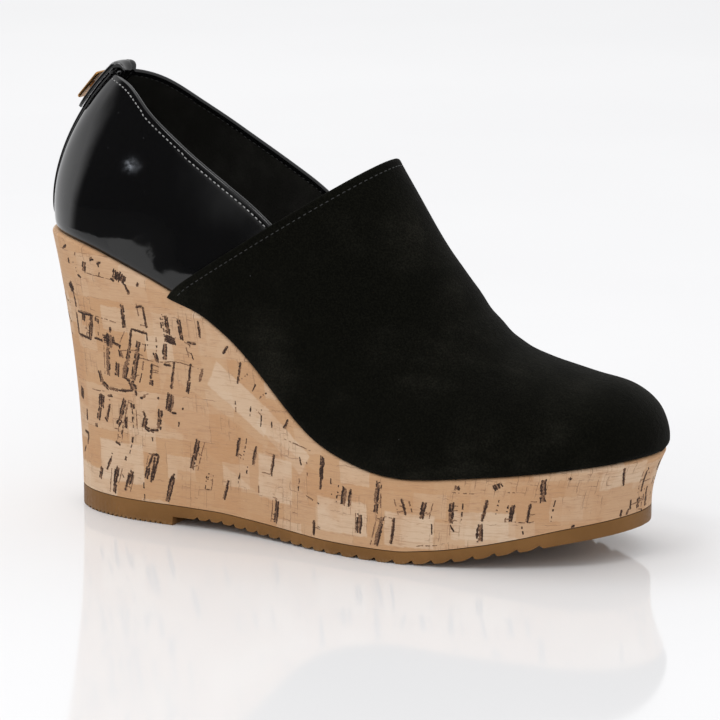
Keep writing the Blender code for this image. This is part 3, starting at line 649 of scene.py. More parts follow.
class Look:
    """A node material, with short ways to add the nodes that it uses."""

    def __init__(self, name, colour, roughness, metallic=0.0):
        self.made = bpy.data.materials.new(name)
        self.made.use_nodes = True
        self.made.diffuse_color = (*colour, 1.0)
        self.tree = self.made.node_tree
        self.shader = self.tree.nodes["Principled BSDF"]
        self.shader.inputs["Base Color"].default_value = (*colour, 1.0)
        self.shader.inputs["Roughness"].default_value = roughness
        self.shader.inputs["Metallic"].default_value = metallic

    def plug(self, value, socket):
        if isinstance(value, bpy.types.NodeSocket):
            self.tree.links.new(value, socket)
        elif value is not None:
            socket.default_value = value

    def node(self, kind, inputs, output=0, **settings):
        """A node with its settings and inputs set, as the socket that it gives."""
        made = self.tree.nodes.new(kind)
        for key, value in settings.items():
            setattr(made, key, value)
        for key, value in inputs.items():
            self.plug(value, made.inputs[key])
        return made.outputs[output]

    def place(self):
        """Where the point is on the shoe, in metres."""
        return self.node("ShaderNodeTexCoord", {}, "Object")

    def sheet_place(self):
        """Where the point is on the cork sheet: along the outline and up, in metres."""
        return self.node("ShaderNodeUVMap", {}, uv_map="along_and_up")

    def scaled(self, vector, scale):
        return self.node("ShaderNodeVectorMath", {0: vector, 1: scale}, operation="MULTIPLY")

    def noise(self, vector, scale, detail=3.0, roughness=0.5, output="Fac"):
        return self.node("ShaderNodeTexNoise", {"Vector": vector, "Scale": scale, "Detail": detail,
                                                "Roughness": roughness}, output)

    def maths(self, operation, a, b=None):
        return self.node("ShaderNodeMath", {0: a, 1: b}, operation=operation)

    def times(self, *values):
        """The product of two values or more."""
        product = values[0]
        for value in values[1:]:
            product = self.maths("MULTIPLY", product, value)
        return product

    def part(self, vector, axis):
        return self.node("ShaderNodeSeparateXYZ", {"Vector": vector}, axis)

    def spots(self, vector, scale):
        """Distance to the nearest of many scattered spots."""
        return self.node("ShaderNodeTexVoronoi", {"Vector": vector, "Scale": scale}, "Distance")

    def bricks(self, vector, size, offset, fills, joint=0.0, width=0.0, softness=0.1):
        """Rows of bricks with grey fills, and joints of a grey, a width and a softness."""
        low, high, joint = ((grey, grey, grey, 1.0) for grey in (*fills, joint))
        return self.node("ShaderNodeTexBrick", {
            "Vector": vector, "Color1": low, "Color2": high, "Mortar": joint, "Scale": 1.0,
            "Mortar Size": width, "Mortar Smooth": softness, "Brick Width": size[0],
            "Row Height": size[1]}, "Color", offset=offset)

    def ramp(self, value, low, high, bottom=0.0, top=1.0):
        """A smooth step from bottom to top as the value goes from low to high."""
        return self.node("ShaderNodeMapRange", {"Value": value, "From Min": low, "From Max": high,
                                                "To Min": bottom, "To Max": top},
                         interpolation_type="SMOOTHSTEP")

    def mix(self, share, a, b):
        """A colour between two others."""
        a = (*a, 1.0) if isinstance(a, tuple) else a
        b = (*b, 1.0) if isinstance(b, tuple) else b
        return self.node("ShaderNodeMix", {0: share, 6: a, 7: b}, 2, data_type="RGBA")

    def bump(self, height, depth, normal=None):
        return self.node("ShaderNodeBump", {"Height": height, "Distance": depth, "Strength": 1.0,
                                            "Normal": normal})

    def set(self, **inputs):
        names = {key.replace("_", " "): value for key, value in inputs.items()}
        for key, value in names.items():
            self.plug(value, self.shader.inputs[key])
        return self.made


def suede_look():
    """Black suede: matte, with a nap that lies lighter in cloudy patches, and a little lint."""
    look = Look("suede_black", (0.004, 0.004, 0.004), 0.95)
    place = look.place()
    clouds = look.ramp(look.noise(place, 26.0, 3.0, 0.55), 0.40, 0.80)
    brushed = look.noise(look.scaled(place, (50.0, 130.0, 220.0)), 1.0, 3.0, 0.6)
    nap = look.noise(place, 1500.0, 2.0, 0.7)
    tone = look.mix(look.times(clouds, look.ramp(brushed, 0.35, 0.7, 0.45, 1.0)),
                    (0.0040, 0.0040, 0.0026), (0.0175, 0.0168, 0.0125))
    grains = look.mix(look.ramp(nap, 0.35, 0.72), (0.55, 0.55, 0.55), (1.35, 1.35, 1.35))
    tone = look.node("ShaderNodeMix", {0: 1.0, 6: tone, 7: grains}, 2,
                     data_type="RGBA", blend_type="MULTIPLY")
    tone = look.mix(look.ramp(look.spots(place, 95.0), 0.022, 0.012), tone, (0.06, 0.06, 0.062))
    pile = look.bump(nap, 0.00022)
    pile = look.bump(look.noise(place, 420.0, 3.0, 0.6), 0.00025, pile)
    return look.set(Base_Color=tone, Normal=pile, Sheen_Weight=0.035, Sheen_Roughness=0.4,
                    Sheen_Tint=(0.9, 0.88, 0.84, 1.0), Specular_IOR_Level=0.04)


def patent_look():
    """Black patent leather: a clear hard gloss over black, very slightly uneven, with faint dust."""
    look = Look("patent_black", (0.004, 0.004, 0.0042), 0.06)
    place = look.place()
    waves = look.noise(place, 55.0, 2.0, 0.4)
    fine = look.noise(place, 700.0, 2.0, 0.5)
    smudges = look.ramp(look.noise(place, 60.0, 4.0, 0.65), 0.50, 0.80, 0.045, 0.13)
    dust = look.ramp(look.spots(place, 140.0), 0.022, 0.012)
    tone = look.mix(dust, (0.004, 0.004, 0.0042), (0.12, 0.12, 0.125))
    skin = look.bump(waves, 0.00022)
    skin = look.bump(fine, 0.000004, skin)
    return look.set(Base_Color=tone, Roughness=smudges, Normal=skin, Coat_Weight=0.1,
                    Coat_Roughness=0.03, IOR=1.45)


def lining_look():
    """The black lining and the sock: thin smooth leather with a fine even grain."""
    look = Look("lining_black", (0.010, 0.010, 0.0105), 0.62)
    place = look.place()
    pebbles = look.spots(place, 1300.0)
    wear = look.noise(place, 45.0, 4.0, 0.6)
    tone = look.mix(look.ramp(wear, 0.4, 0.75), (0.0115, 0.0110, 0.0090), (0.0260, 0.0250, 0.0210))
    return look.set(Base_Color=tone, Roughness=look.ramp(wear, 0.3, 0.8, 0.55, 0.75),
                    Normal=look.bump(pebbles, 0.00005), Specular_IOR_Level=0.25)


def rubber_look():
    """Gum rubber: caramel brown, faintly cloudy, with a fine moulded grain and scuffed low edges."""
    look = Look("gum_rubber", (0.30, 0.150, 0.052), 0.5)
    place = look.place()
    cloud = look.noise(place, 30.0, 4.0, 0.6)
    grain = look.noise(place, 900.0, 3.0, 0.6)
    tone = look.mix(look.ramp(cloud, 0.3, 0.72), (0.180, 0.084, 0.022), (0.240, 0.115, 0.034))
    low = look.ramp(look.part(place, "Z"), 0.0022, 0.0002)
    tone = look.mix(look.times(low, look.ramp(grain, 0.42, 0.6), 0.3), tone, (0.36, 0.25, 0.14))
    return look.set(Base_Color=tone, Roughness=look.ramp(grain, 0.3, 0.7, 0.42, 0.6),
                    Normal=look.bump(grain, 0.00003), Specular_IOR_Level=0.2)


def brass_look():
    """The bare plate: warm polished metal with fine lengthwise brushing."""
    look = Look("brass", (0.47, 0.23, 0.07), 0.22, 1.0)
    place = look.place()
    brush = look.noise(look.scaled(place, (400.0, 5000.0, 400.0)), 1.0, 3.0, 0.6)
    tone = look.mix(look.ramp(brush, 0.3, 0.7), (0.42, 0.20, 0.055), (0.53, 0.28, 0.090))
    return look.set(Base_Color=tone, Roughness=look.ramp(brush, 0.3, 0.7, 0.16, 0.30),
                    Normal=look.bump(brush, 0.000006))


def thread_look(name, dark, light, roughness):
    """Sewing thread with its twist."""
    look = Look(name, light, roughness)
    place = look.place()
    twist = look.noise(place, 2600.0, 2.0, 0.5)
    tone = look.mix(look.ramp(twist, 0.35, 0.65), dark, light)
    return look.set(Base_Color=tone, Normal=look.bump(twist, 0.00004))


CORK_TAN = (0.550, 0.325, 0.172)
CORK_CREAM = (0.690, 0.525, 0.375)
CORK_ORANGE = (0.510, 0.265, 0.122)
CORK_BROWN = (0.200, 0.100, 0.055)
CORK_GRAIN = (0.400, 0.220, 0.125)

# The cork's slices: length and height in metres, and how far each row is offset
WIDE_SLICE = (0.034, 0.0163)
WIDE_OFFSET = 0.37
SMALL_SLICE = (0.0127, 0.0088)
SMALL_OFFSET = 0.61
SEAM_WIDTH = 0.00016
SLICE_SOFTNESS = 0.0004    # over which the tone of a charted slice fades in
SLICE_STRENGTH = 0.65
ORANGE_STRENGTH = 0.35

# Thin walls of the small upright cells that show in places
CELL_WALL_WIDTH = 0.00017
CELL_WALLS = (
    # height and width, offset, colour, strength
    ((0.0079, 0.0037), 0.43, CORK_BROWN, 0.75),
    ((0.0052, 0.0021), 0.61, CORK_GRAIN, 0.55),
)


def cork_look(patches):
    """The cork sheet: slices of differing tone laid side by side, grained along the sheet."""
    look = Look("cork", CORK_TAN, 0.72)
    sheet = look.sheet_place()
    wander = look.noise(sheet, 260.0, 3.0, 0.6, "Color")
    wander = look.node("ShaderNodeVectorMath", {0: wander, 1: (0.5, 0.5, 0.5)}, operation="SUBTRACT")
    wander = look.scaled(wander, (0.0016, 0.0022, 0.0))
    ragged = look.node("ShaderNodeVectorMath", {0: sheet, 1: wander}, operation="ADD")

    wide = look.bricks(ragged, WIDE_SLICE, WIDE_OFFSET, (0.0, 1.0))
    small = look.bricks(ragged, SMALL_SLICE, SMALL_OFFSET, (0.0, 1.0))
    tone = look.mix(look.ramp(wide, 0.15, 0.95, 0.0, 0.40), CORK_TAN, CORK_CREAM)
    tone = look.mix(look.ramp(small, 0.62, 0.80, 0.0, 0.22), tone, CORK_ORANGE)
    tone = look.mix(look.ramp(small, 0.30, 0.12, 0.0, 0.42), tone, CORK_CREAM)
    for centre, size, lean, colour in patches:
        turned = look.node("ShaderNodeVectorMath", {0: ragged, 1: (*centre, 0.0)},
                           operation="SUBTRACT")
        turned = look.node("ShaderNodeVectorRotate", {"Vector": turned, "Angle": -lean},
                           rotation_type="Z_AXIS")
        inside = [look.ramp(look.maths("ABSOLUTE", look.part(turned, axis)), half + SLICE_SOFTNESS,
                            half - SLICE_SOFTNESS) for axis, half in zip("XY", size)]
        strength = ORANGE_STRENGTH if colour == CORK_ORANGE else SLICE_STRENGTH
        tone = look.mix(look.times(*inside, strength), tone, colour)

    grain = look.noise(look.scaled(sheet, (75.0, 1250.0, 1.0)), 1.0, 4.0, 0.65)
    lines = look.noise(look.scaled(sheet, (45.0, 640.0, 1.0)), 1.0, 2.0, 0.5)
    lines = look.ramp(look.maths("ABSOLUTE", look.maths("SUBTRACT", lines, 0.5)), 0.016, 0.004)
    fibres = look.noise(look.scaled(sheet, (420.0, 4200.0, 1.0)), 1.0, 2.0, 0.6)
    cells = look.noise(sheet, 2400.0, 2.0, 0.6)
    clouds = look.noise(sheet, 70.0, 4.0, 0.6)
    tone = look.mix(look.ramp(clouds, 0.44, 0.75, 0.0, 0.45), tone, CORK_ORANGE)
    tone = look.mix(look.ramp(grain, 0.50, 0.72, 0.0, 0.42), tone, CORK_GRAIN)
    tone = look.mix(look.times(lines, look.ramp(clouds, 0.40, 0.60, 0.15, 0.5)), tone, CORK_GRAIN)
    tone = look.mix(look.ramp(fibres, 0.55, 0.80, 0.0, 0.22), tone, (0.80, 0.66, 0.49))
    seams = look.bricks(ragged, WIDE_SLICE, WIDE_OFFSET, (0.0, 0.0), 1.0, SEAM_WIDTH, 0.5)
    shown = look.ramp(look.noise(sheet, 130.0, 3.0, 0.6), 0.50, 0.62)
    tone = look.mix(look.times(seams, shown, 0.55), tone, CORK_BROWN)
    upright = look.node("ShaderNodeVectorRotate", {"Vector": ragged, "Angle": math.radians(93)},
                        rotation_type="Z_AXIS")
    cells_seen = look.ramp(look.noise(sheet, 42.0, 2.0, 0.5), 0.52, 0.60)
    gaps = look.ramp(look.noise(look.scaled(sheet, (330.0, 250.0, 1.0)), 1.0, 2.0, 0.6), 0.40, 0.56)
    for cell, offset, colour, strength in CELL_WALLS:
        walls = look.bricks(upright, cell, offset, (0.0, 0.0), 1.0, CELL_WALL_WIDTH, 0.6)
        tone = look.mix(look.times(walls, gaps, cells_seen, strength), tone, colour)
    pits = look.noise(look.scaled(sheet, (900.0, 700.0, 1.0)), 1.0, 3.0, 0.75)
    pits = look.times(look.ramp(pits, 0.66, 0.74),
                      look.ramp(look.noise(sheet, 90.0, 3.0, 0.6), 0.48, 0.66))
    tone = look.mix(look.times(pits, 0.75), tone, CORK_BROWN)
    height = look.maths("SUBTRACT", look.maths("ADD", grain, look.times(cells, 0.5)), pits)
    return look.set(Base_Color=tone, Roughness=look.ramp(cells, 0.3, 0.7, 0.62, 0.82),
                    Normal=look.bump(height, 0.00007), Specular_IOR_Level=0.3)


def bark_look(name, dark, light):
    """The dark, crumbly streaks in the cork."""
    look = Look(name, dark, 0.85)
    crumbs = look.noise(look.place(), 1900.0, 3.0, 0.7)
    tone = look.mix(look.ramp(crumbs, 0.38, 0.66), dark, light)
    return look.set(Base_Color=tone, Normal=look.bump(crumbs, 0.00012), Specular_IOR_Level=0.2)


SUEDE_FINISH = suede_look()
PATENT_FINISH = patent_look()
LINING_FINISH = lining_look()
RUBBER_FINISH = rubber_look()
BRASS_FINISH = brass_look()
BARK_DARK = bark_look("cork_streaks_dark", (0.024, 0.014, 0.011), (0.095, 0.052, 0.036))
BARK_BROWN = bark_look("cork_streaks_brown", (0.110, 0.056, 0.032), (0.360, 0.210, 0.125))
PALE_THREAD = thread_look("thread_pale", (0.12, 0.12, 0.12), (0.42, 0.42, 0.41), 0.45)
BLACK_THREAD = thread_look("thread_black", (0.005, 0.005, 0.005), (0.016, 0.016, 0.015), 0.55)

# The upper

QUARTER_HIGH = 0.0
QUARTER_LOW = -0.0009
FOLD_LOW = -0.00175        # the patent folded over the top line, inside
FOLD_DEPTH = 0.0026
LINING_HIGH = -0.00055     # under the vamp
LINING_HIGH_BACK = -0.00095      # under the quarter
LINING_LOW = -WALL
VAMP_HIGH = FIT_GAP + SUEDE
VAMP_LOW_ON_QUARTER = 0.00012
VAMP_LOW_ON_LINING = -0.0005
QUARTER_UNDER_VAMP = 0.008
SEAM_FROM_COLLAR = 0.0025
SEAM_FROM_THROAT = 0.0032
SEAM_DIP = 0.00010
SEAM_DIP_HALF = 0.0005
COLLAR_ROWS = (0.0040, 0.0033, 0.0029, 0.0025, 0.0021, 0.0016, 0.0)   # below the top line
THROAT_STEPS = (0.0, 0.0014, 0.0022, 0.0027, 0.0032, 0.0037, 0.0043, 0.0055, 0.0075)
HEM_LENGTH = 0.016         # along the cork from the throat, where the suede hangs over its edge
HEM_DROP = 0.0021
HEM_OUT = 0.0012
HEM_ROWS = (1.0, 0.86, 0.62, 0.36, 0.14, 0.03)   # share of it at each row up from the bottom edge
FOOT_TUCK = 0.0011         # how far the upper turns in where it meets the cork
FOOT_TUCK_HEIGHT = 0.0024


def cubic_points(handles, climbs):
    t = np.asarray(climbs)[:, None]
    return cubic(*(np.asarray(handle)[None, :] for handle in handles), t)


def top_rows(count, length, depths):
    """Climbs that are even up to the deepest of the depths below the top, and then at each depth."""
    low = np.linspace(0, 1 - (depths[0] + length / count * 0.6) / length, count)
    return np.concatenate((low, 1 - np.array(depths) / length))


def quarter_sheet(stations, rows, depths, past_throat):
    """The quarter from the throat's inner side round the heel to its outer side."""
    shares = np.linspace(0, 1, stations + 1) ** 1.25
    order = [(share, INNER) for share in shares[::-1]] + [(share, OUTER) for share in shares[1:]]
    extra = [past_throat / plan_length * i / 3 for i in (3, 2, 1)] if past_throat else []

    def column(handles):
        length = reach_along(cubic_points(handles, np.linspace(0, 1, 9)))[-1]
        return cubic_points(handles, top_rows(rows, length, depths))

    def under_vamp(step, side):
        return column(split(*vamp_handles(throat_share + step, side), COLLAR_CROSSING))

    columns = [under_vamp(step, INNER) for step in extra]
    columns += [column(quarter_handles(share, side)) for share, side in order]
    columns += [under_vamp(step, OUTER) for step in extra[::-1]]
    sheet = Sheet(columns)
    sheet.level_normals((0,))
    return sheet


def vamp_sheet(edge_steps, stations, rows, hem=0.0):
    """The vamp from its throat edge to the tip, each column from the outer foot over to the inner.
    With a hem its bottom edge hangs over the cork next to the throat."""
    shares = list(throat_share + np.array(edge_steps) / plan_length)
    share_left = np.linspace(0, 1, stations + 1)[1:]
    crowded = 0.62 * share_left + 0.38 * np.sin(share_left * math.pi / 2)
    shares += list(shares[-1] + (1 - shares[-1]) * crowded)
    climbs = np.concatenate(([0.0, 0.008, 0.018, 0.032], np.linspace(0.05, 1, rows)))
    columns = []
    for share in shares:
        if share >= 1 - 1e-9:
            columns.append([wall_foot(1.0, OUTER)] * (2 * len(climbs) - 1))
            continue
        halves = [cubic_points(vamp_handles(share, side), climbs) for side in SIDES]
        reach = (share - throat_share) * plan_length
        hang = hem * (1 - smooth_step(0.0, HEM_LENGTH, reach))
        for half, side in zip(halves, SIDES):
            shift = HEM_OUT * seat_outward(share, side) - np.array([0.0, 0.0, HEM_DROP])
            half[:len(HEM_ROWS)] += hang * np.array(HEM_ROWS)[:, None] * shift
        columns.append(np.vstack((halves[0], halves[1][-2::-1])))
    sheet = Sheet(columns)
    sheet.level_normals((0, -1))
    sheet.climbs = np.concatenate((climbs, climbs[-2::-1]))
    sheet.shares = np.array(shares)
    return sheet


def tuck(height_above_foot):
    """How far the upper's outer face turns in at a height above its foot."""
    return FOOT_TUCK * (1 - np.clip(height_above_foot / FOOT_TUCK_HEIGHT, 0, 1)) ** 2


def off_top(sheet, back):
    """Rims along the last row of a sheet, with the direction up and off its edge."""
    rims = {}
    for station in range(len(sheet.grid)):
        corner = sheet.ids[station, -1]
        rims[int(corner)] = (unit(sheet.grid[station, -1] - sheet.grid[station, -2]), back)
    return rims


def off_start(sheet, back):
    """Rims along the first station of a sheet, with the direction off its edge."""
    rims = {}
    for row in range(sheet.grid.shape[1]):
        corner = sheet.ids[0, row]
        rims[int(corner)] = (unit(sheet.grid[0, row] - sheet.grid[1, row]), back)
    return rims


def build_quarter():
    """Patent quarter, folded inward over the top line, running on under the vamp."""
    sheet = quarter_sheet(54, 30, COLLAR_ROWS, QUARTER_UNDER_VAMP)
    groove = SEAM_DIP * np.exp(-((sheet.from_high - SEAM_FROM_COLLAR) / SEAM_DIP_HALF) ** 2)
    high = QUARTER_HIGH - groove - tuck(sheet.from_low) * 0.5
    low = np.where(sheet.from_high < FOLD_DEPTH, FOLD_LOW, QUARTER_LOW)
    points, faces, finish_of = wall(sheet, high, low, off_top(sheet, 0.0))
    add_piece("patent_quarter", points, faces, [PATENT_FINISH, PATENT_FINISH], ("upper",),
              finish_of)


def build_lining():
    """Lining of the quarter and of the vamp, each a thin wall that ends below the edge."""
    back = quarter_sheet(30, 14, (0.0040, 0.0), 0.0)
    front = vamp_sheet((0.0, 0.004), 46, 20)
    for name, sheet, high, rims in (
            ("lining_quarter", back, LINING_HIGH_BACK, off_top(back, 0.0012)),
            ("lining_vamp", front, LINING_HIGH, off_start(front, 0.0006))):
        shape = sheet.from_low.shape
        points, faces, _ = wall(sheet, np.full(shape, high), np.full(shape, LINING_LOW), rims)
        add_piece(name, points, faces, [LINING_FINISH])


# Soft troughs across the vamp where the foot bends it, and where the last's cone turns into the toe:
# the seat's share they start from, how far they lean forward toward the ridge, depth and half width
# in metres, and the climb where they are deepest
CREASES = (
    # share, lean, depth, width, climb
    (0.520, 0.060, 0.00042, 0.0065, 0.80),
    (0.585, 0.045, 0.00034, 0.0050, 0.62),
    (0.455, 0.080, 0.00030, 0.0080, 0.55),
    (0.650, 0.020, 0.00022, 0.0050, 0.50),
)
CREASE_REACH = 0.33        # of the climb, to either side of where a crease is deepest
RIDGE_AWAY = 1.7           # the ridges beside it, in half widths of the crease
RIDGE_WIDTH = 1.1


def crease_depth(sheet):
    """Depth of the creases at each point of the vamp, with a softer ridge on either side of each."""
    depth = np.zeros(sheet.from_low.shape)
    climb = sheet.climbs[None, :]
    share = sheet.shares[:, None]
    for start, lean, deep, width, deepest in CREASES:
        across = (share - start - lean * climb) * plan_length / width
        reach = np.exp(-((climb - deepest) / CREASE_REACH) ** 2)
        ridges = sum(np.exp(-((across + away) / RIDGE_WIDTH) ** 2) for away in (-RIDGE_AWAY, RIDGE_AWAY))
        depth += deep * reach * (np.exp(-across ** 2) - 0.5 * ridges)
    return depth


def build_vamp():
    """Suede vamp with a folded, stitched throat edge."""
    sheet = vamp_sheet(THROAT_STEPS, 96, 44, 1.0)
    from_foot = np.minimum(sheet.from_low, sheet.from_high)
    groove = 1.6 * SEAM_DIP * np.exp(-((sheet.from_start - SEAM_FROM_THROAT) / SEAM_DIP_HALF) ** 2)
    fold = 0.00012 * (1 - smooth_step(0.0030, 0.0050, sheet.from_start))
    high = VAMP_HIGH + fold - groove - tuck(from_foot) - crease_depth(sheet)
    over_quarter = (sheet.climbs < COLLAR_CROSSING + 0.02)[None, :] & (sheet.shares < 0.5)[:, None]
    low = np.where(over_quarter, VAMP_LOW_ON_QUARTER, VAMP_LOW_ON_LINING)
    points, faces, finish_of = wall(sheet, high, low, off_start(sheet, 0.0))
    add_piece("suede_vamp", points, faces, [SUEDE_FINISH, SUEDE_FINISH], ("vamp",),
              finish_of)
    return sheet, high


# Stitches: length, width and height of each kind, how far it sinks in, and the pitch of its seam

COLLAR_STITCH = (0.0013, 0.00050, 0.00045)
COLLAR_STITCH_SINK = 0.00004
COLLAR_STITCH_PITCH = 0.0021
LINING_STITCH = (0.0012, 0.00045, 0.00040)
THROAT_STITCH = (0.0015, 0.00050, 0.00045)
THROAT_STITCH_SINK = 0.00008
THROAT_STITCH_PITCH = 0.0023
BACK_STITCH = (0.0016, 0.00055, 0.00050)
BACK_STITCH_SINK = 0.00005
BACK_STITCH_PITCH = 0.0023
SEAM_LIFT = 0.86           # where the back's seams lie, as a share of the strip's thickness


def stitch_shape(length, width, height, around=8, along=6):
    """A rounded stitch, long in X, as points and faces."""
    points, faces = [(-length / 2, 0, 0)], []
    for i in range(1, along):
        angle = math.pi * i / along
        for j in range(around):
            turn = 2 * math.pi * j / around
            points.append((-length / 2 * math.cos(angle),
                           width / 2 * math.sin(angle) ** 0.7 * math.cos(turn),
                           height / 2 * math.sin(angle) ** 0.7 * math.sin(turn)))
    points.append((length / 2, 0, 0))
    last = len(points) - 1
    for j in range(around):
        k = (j + 1) % around
        faces.append((0, 1 + k, 1 + j))
        for i in range(along - 2):
            a, b = 1 + i * around, 1 + (i + 1) * around
            faces.append((a + j, a + k, b + k, b + j))
        faces.append((1 + (along - 2) * around + j, 1 + (along - 2) * around + k, last))
    return np.array(points), faces


def even_places(points, normals, pitch):
    """Places at an even pitch along a chain: point, direction and normal of each."""
    points, normals = np.array(points), np.array(normals)
    reach = reach_along(points)
    count = int(reach[-1] / pitch)
    start = (reach[-1] - (count - 1) * pitch) / 2
    found = []
    for i in range(count):
        at = start + i * pitch

        def read(values, where):
            return np.array([np.interp(where, reach, values[:, k]) for k in range(3)])
        normal = unit(read(normals, at))
        along = read(points, at + pitch / 4) - read(points, at - pitch / 4)
        along = unit(along - normal * along.dot(normal))
        found.append((read(points, at), along, normal))
    return found


def build_stitches(name, places, size, sink, finish):
    """One seam's stitches, joined into one mesh."""
    shape, shape_faces = stitch_shape(*size)
    points, faces = [], []
    for point, along, normal in places:
        across = np.cross(normal, along)
        turned = point - sink * normal + shape @ np.array([along, across, normal])
        faces += [tuple(corner + len(points) * len(shape) for corner in face)
                  for face in shape_faces]
        points.append(turned)
    add_piece(name, np.vstack(points), faces, [finish], crease=80)


def collar_seam():
    """Places of the stitches along the quarter's top line, outside."""
    chain, normals = [], []
    shares = np.linspace(0.085, 1.0, 90)
    for share, side in [(s, INNER) for s in shares[::-1]] + [(s, OUTER) for s in shares]:
        handles = quarter_handles(share, side)
        line = cubic_points(handles, np.linspace(0.8, 1, 30))
        depth = np.linalg.norm(line - line[-1], axis=1)
        i = int(np.argmin(np.abs(depth - SEAM_FROM_COLLAR)))
        point = line[i]
        up = unit(line[min(i + 1, 29)] - line[i - 1])
        other = cubic_points(quarter_handles(max(share - 0.01, 0.0), side), np.linspace(0.8, 1, 30))[i]
        run = unit(point - other)
        normal = unit(np.cross(run, up)) * (1 if side == OUTER else -1)
        chain.append(point)
        normals.append(normal)
    half = len(shares)
    inner = even_places(chain[:half], normals[:half], COLLAR_STITCH_PITCH)
    outer = even_places(chain[half:], normals[half:], COLLAR_STITCH_PITCH)
    return inner + outer


def inside_seam():
    """The same seam's places on the inner face of the folded edge."""
    return [(point + FOLD_LOW * normal, along, -normal) for point, along, normal in collar_seam()]


def throat_seam(sheet, high):
    """Places of the stitches along the vamp's throat edge."""
    chain, normals = [], []
    for row in range(2, sheet.grid.shape[1] - 2):
        reach = sheet.from_start[:, row]
        share = np.interp(SEAM_FROM_THROAT, reach, np.arange(len(reach)))
        i = int(share)
        t = share - i
        corners = sheet.ids[i, row], sheet.ids[i + 1, row]
        lifted = [sheet.points[c] + high.ravel()[c] * sheet.normals[c] for c in corners]
        chain.append((1 - t) * lifted[0] + t * lifted[1])
        normals.append(unit((1 - t) * sheet.normals[corners[0]] + t * sheet.normals[corners[1]]))
    return even_places(chain, normals, THROAT_STITCH_PITCH)


# The back strip and the pull tab

STRIP_END_START = 0.0006   # how far into their rounding the ends of the strip and the tab start
TAB_END_START = 0.0022
STRIP_FROM_CLIMB = 0.045
STRIP_TO_CLIMB = 0.97
TAB_FROM_CLIMB = 0.735
TAB_INNER_TO_CLIMB = 0.885
TAB_SEAT = FIT_GAP + STRIP_THICKNESS + FIT_GAP
TAB_INNER_SEAT = WALL + 2 * FIT_GAP
BACK_REACH = np.linspace(0, 0.35, 15)


@functools.lru_cache(maxsize=None)
def back_line(side, climb):
    return np.array([quarter_point(share, side, climb) for share in BACK_REACH])


def back_point(y, climb):
    """The quarter's surface near the back seam, at a distance y from the seam."""
    side = OUTER if y < 0 else INNER
    line = back_line(side, round(climb, 6))
    reach = side * line[:, 1]
    return np.array([np.interp(side * y, reach, line[:, 0]), y, np.interp(side * y, reach, line[:, 2])])


def back_frame(y, climb):
    """A point of that surface with its upward tangent and its outward normal."""
    point = back_point(y, climb)
    across = back_point(y + NEAR_ACROSS, climb) - back_point(y - NEAR_ACROSS, climb)
    low = back_point(y, max(climb - NEAR_CLIMB, 0.0))
    high = back_point(y, min(climb + NEAR_CLIMB, 1.0))
    up = unit(high - low)
    return point, up, unit(np.cross(up, across))


# Across a strip, from one side edge to the other: shares of its half width and of its thickness
STRIP_PROFILE = ((-1.0, 0.30), (-0.985, 0.62), (-0.94, 0.88), (-0.86, 1.0), (-0.74, 0.97),
                 (-0.66, 0.86), (-0.58, 0.97), (-0.40, 1.0), (0.0, 1.0), (0.40, 1.0), (0.58, 0.97),
                 (0.66, 0.86), (0.74, 0.97), (0.86, 1.0), (0.94, 0.88), (0.985, 0.62), (1.0, 0.30))
SEAM_ACROSS_STRIP = 0.66   # where the seams run, as a share of the strip's half width


def strip_body(rows, width_at, thickness, base):
    """Points and faces of a strip. base gives, for a row, y and lift, the point and its normal."""
    outside, inside, ids = [], [], []
    for row in rows:
        column = []
        for across, lift in STRIP_PROFILE:
            y = across * width_at(row) / 2
            outside.append(base(row, y, lift * thickness))
            inside.append(base(row, y, 0.0))
            column.append(len(outside) - 1)
        ids.append(column)
    return np.array(outside + inside), closed_faces(grid_faces(ids), len(outside))


def rounded_end(reach, width):
    """Width of a strip at a distance from its rounded end."""
    depth = min(max(reach, 0.0), width / 2)
    return width * math.sqrt(max(1 - (1 - 2 * depth / width) ** 2, 0.02))


def build_backstay():
    """Patent strip over the back seam, with a rounded lower end and a seam along each edge."""
    climbs = np.concatenate((STRIP_FROM_CLIMB + 0.085 * np.linspace(0, 1, 12) ** 1.6,
                             np.linspace(0.15, STRIP_TO_CLIMB, 40)))
    reach = reach_along([back_point(0.0, climb) for climb in climbs])

    def base(row, y, lift):
        point, _, out = back_frame(y, climbs[row])
        return point + (FIT_GAP / 3 + lift) * out

    def width_at(row):
        return rounded_end(reach[row] + STRIP_END_START, STRIP_WIDTH)
    points, faces = strip_body(range(len(climbs)), width_at, STRIP_THICKNESS + FIT_GAP * 2 / 3, base)
    add_piece("patent_backstay", points, faces, [PATENT_FINISH], ("backstay",))
    places = []
    for side in SIDES:
        chain, normals = [], []
        for climb in np.linspace(0.10, TAB_FROM_CLIMB - 0.01, 40):
            point, _, out = back_frame(side * SEAM_ACROSS_STRIP * STRIP_WIDTH / 2, climb)
            chain.append(point + (FIT_GAP + STRIP_THICKNESS * SEAM_LIFT) * out)
            normals.append(out)
        places += even_places(chain, normals, BACK_STITCH_PITCH)
    build_stitches("stitches_backstay", places, BACK_STITCH, BACK_STITCH_SINK, BLACK_THREAD)


def tab_frame(station, y):
    """A point on the tab's way with its outward direction: up, over the top line, down inside."""
    kind, value = station
    point, up, out = back_frame(y, 1.0 if kind == "over" else value)
    if kind == "outside":
        return point + TAB_SEAT * out, out
    if kind == "inside":
        return point - TAB_INNER_SEAT * out, -out
    centre = point + (TAB_SEAT - TAB_INNER_SEAT) / 2 * out + FIT_GAP * up
    away = math.cos(value) * out + math.sin(value) * up
    return centre + (TAB_SEAT + TAB_INNER_SEAT) / 2 * away, away


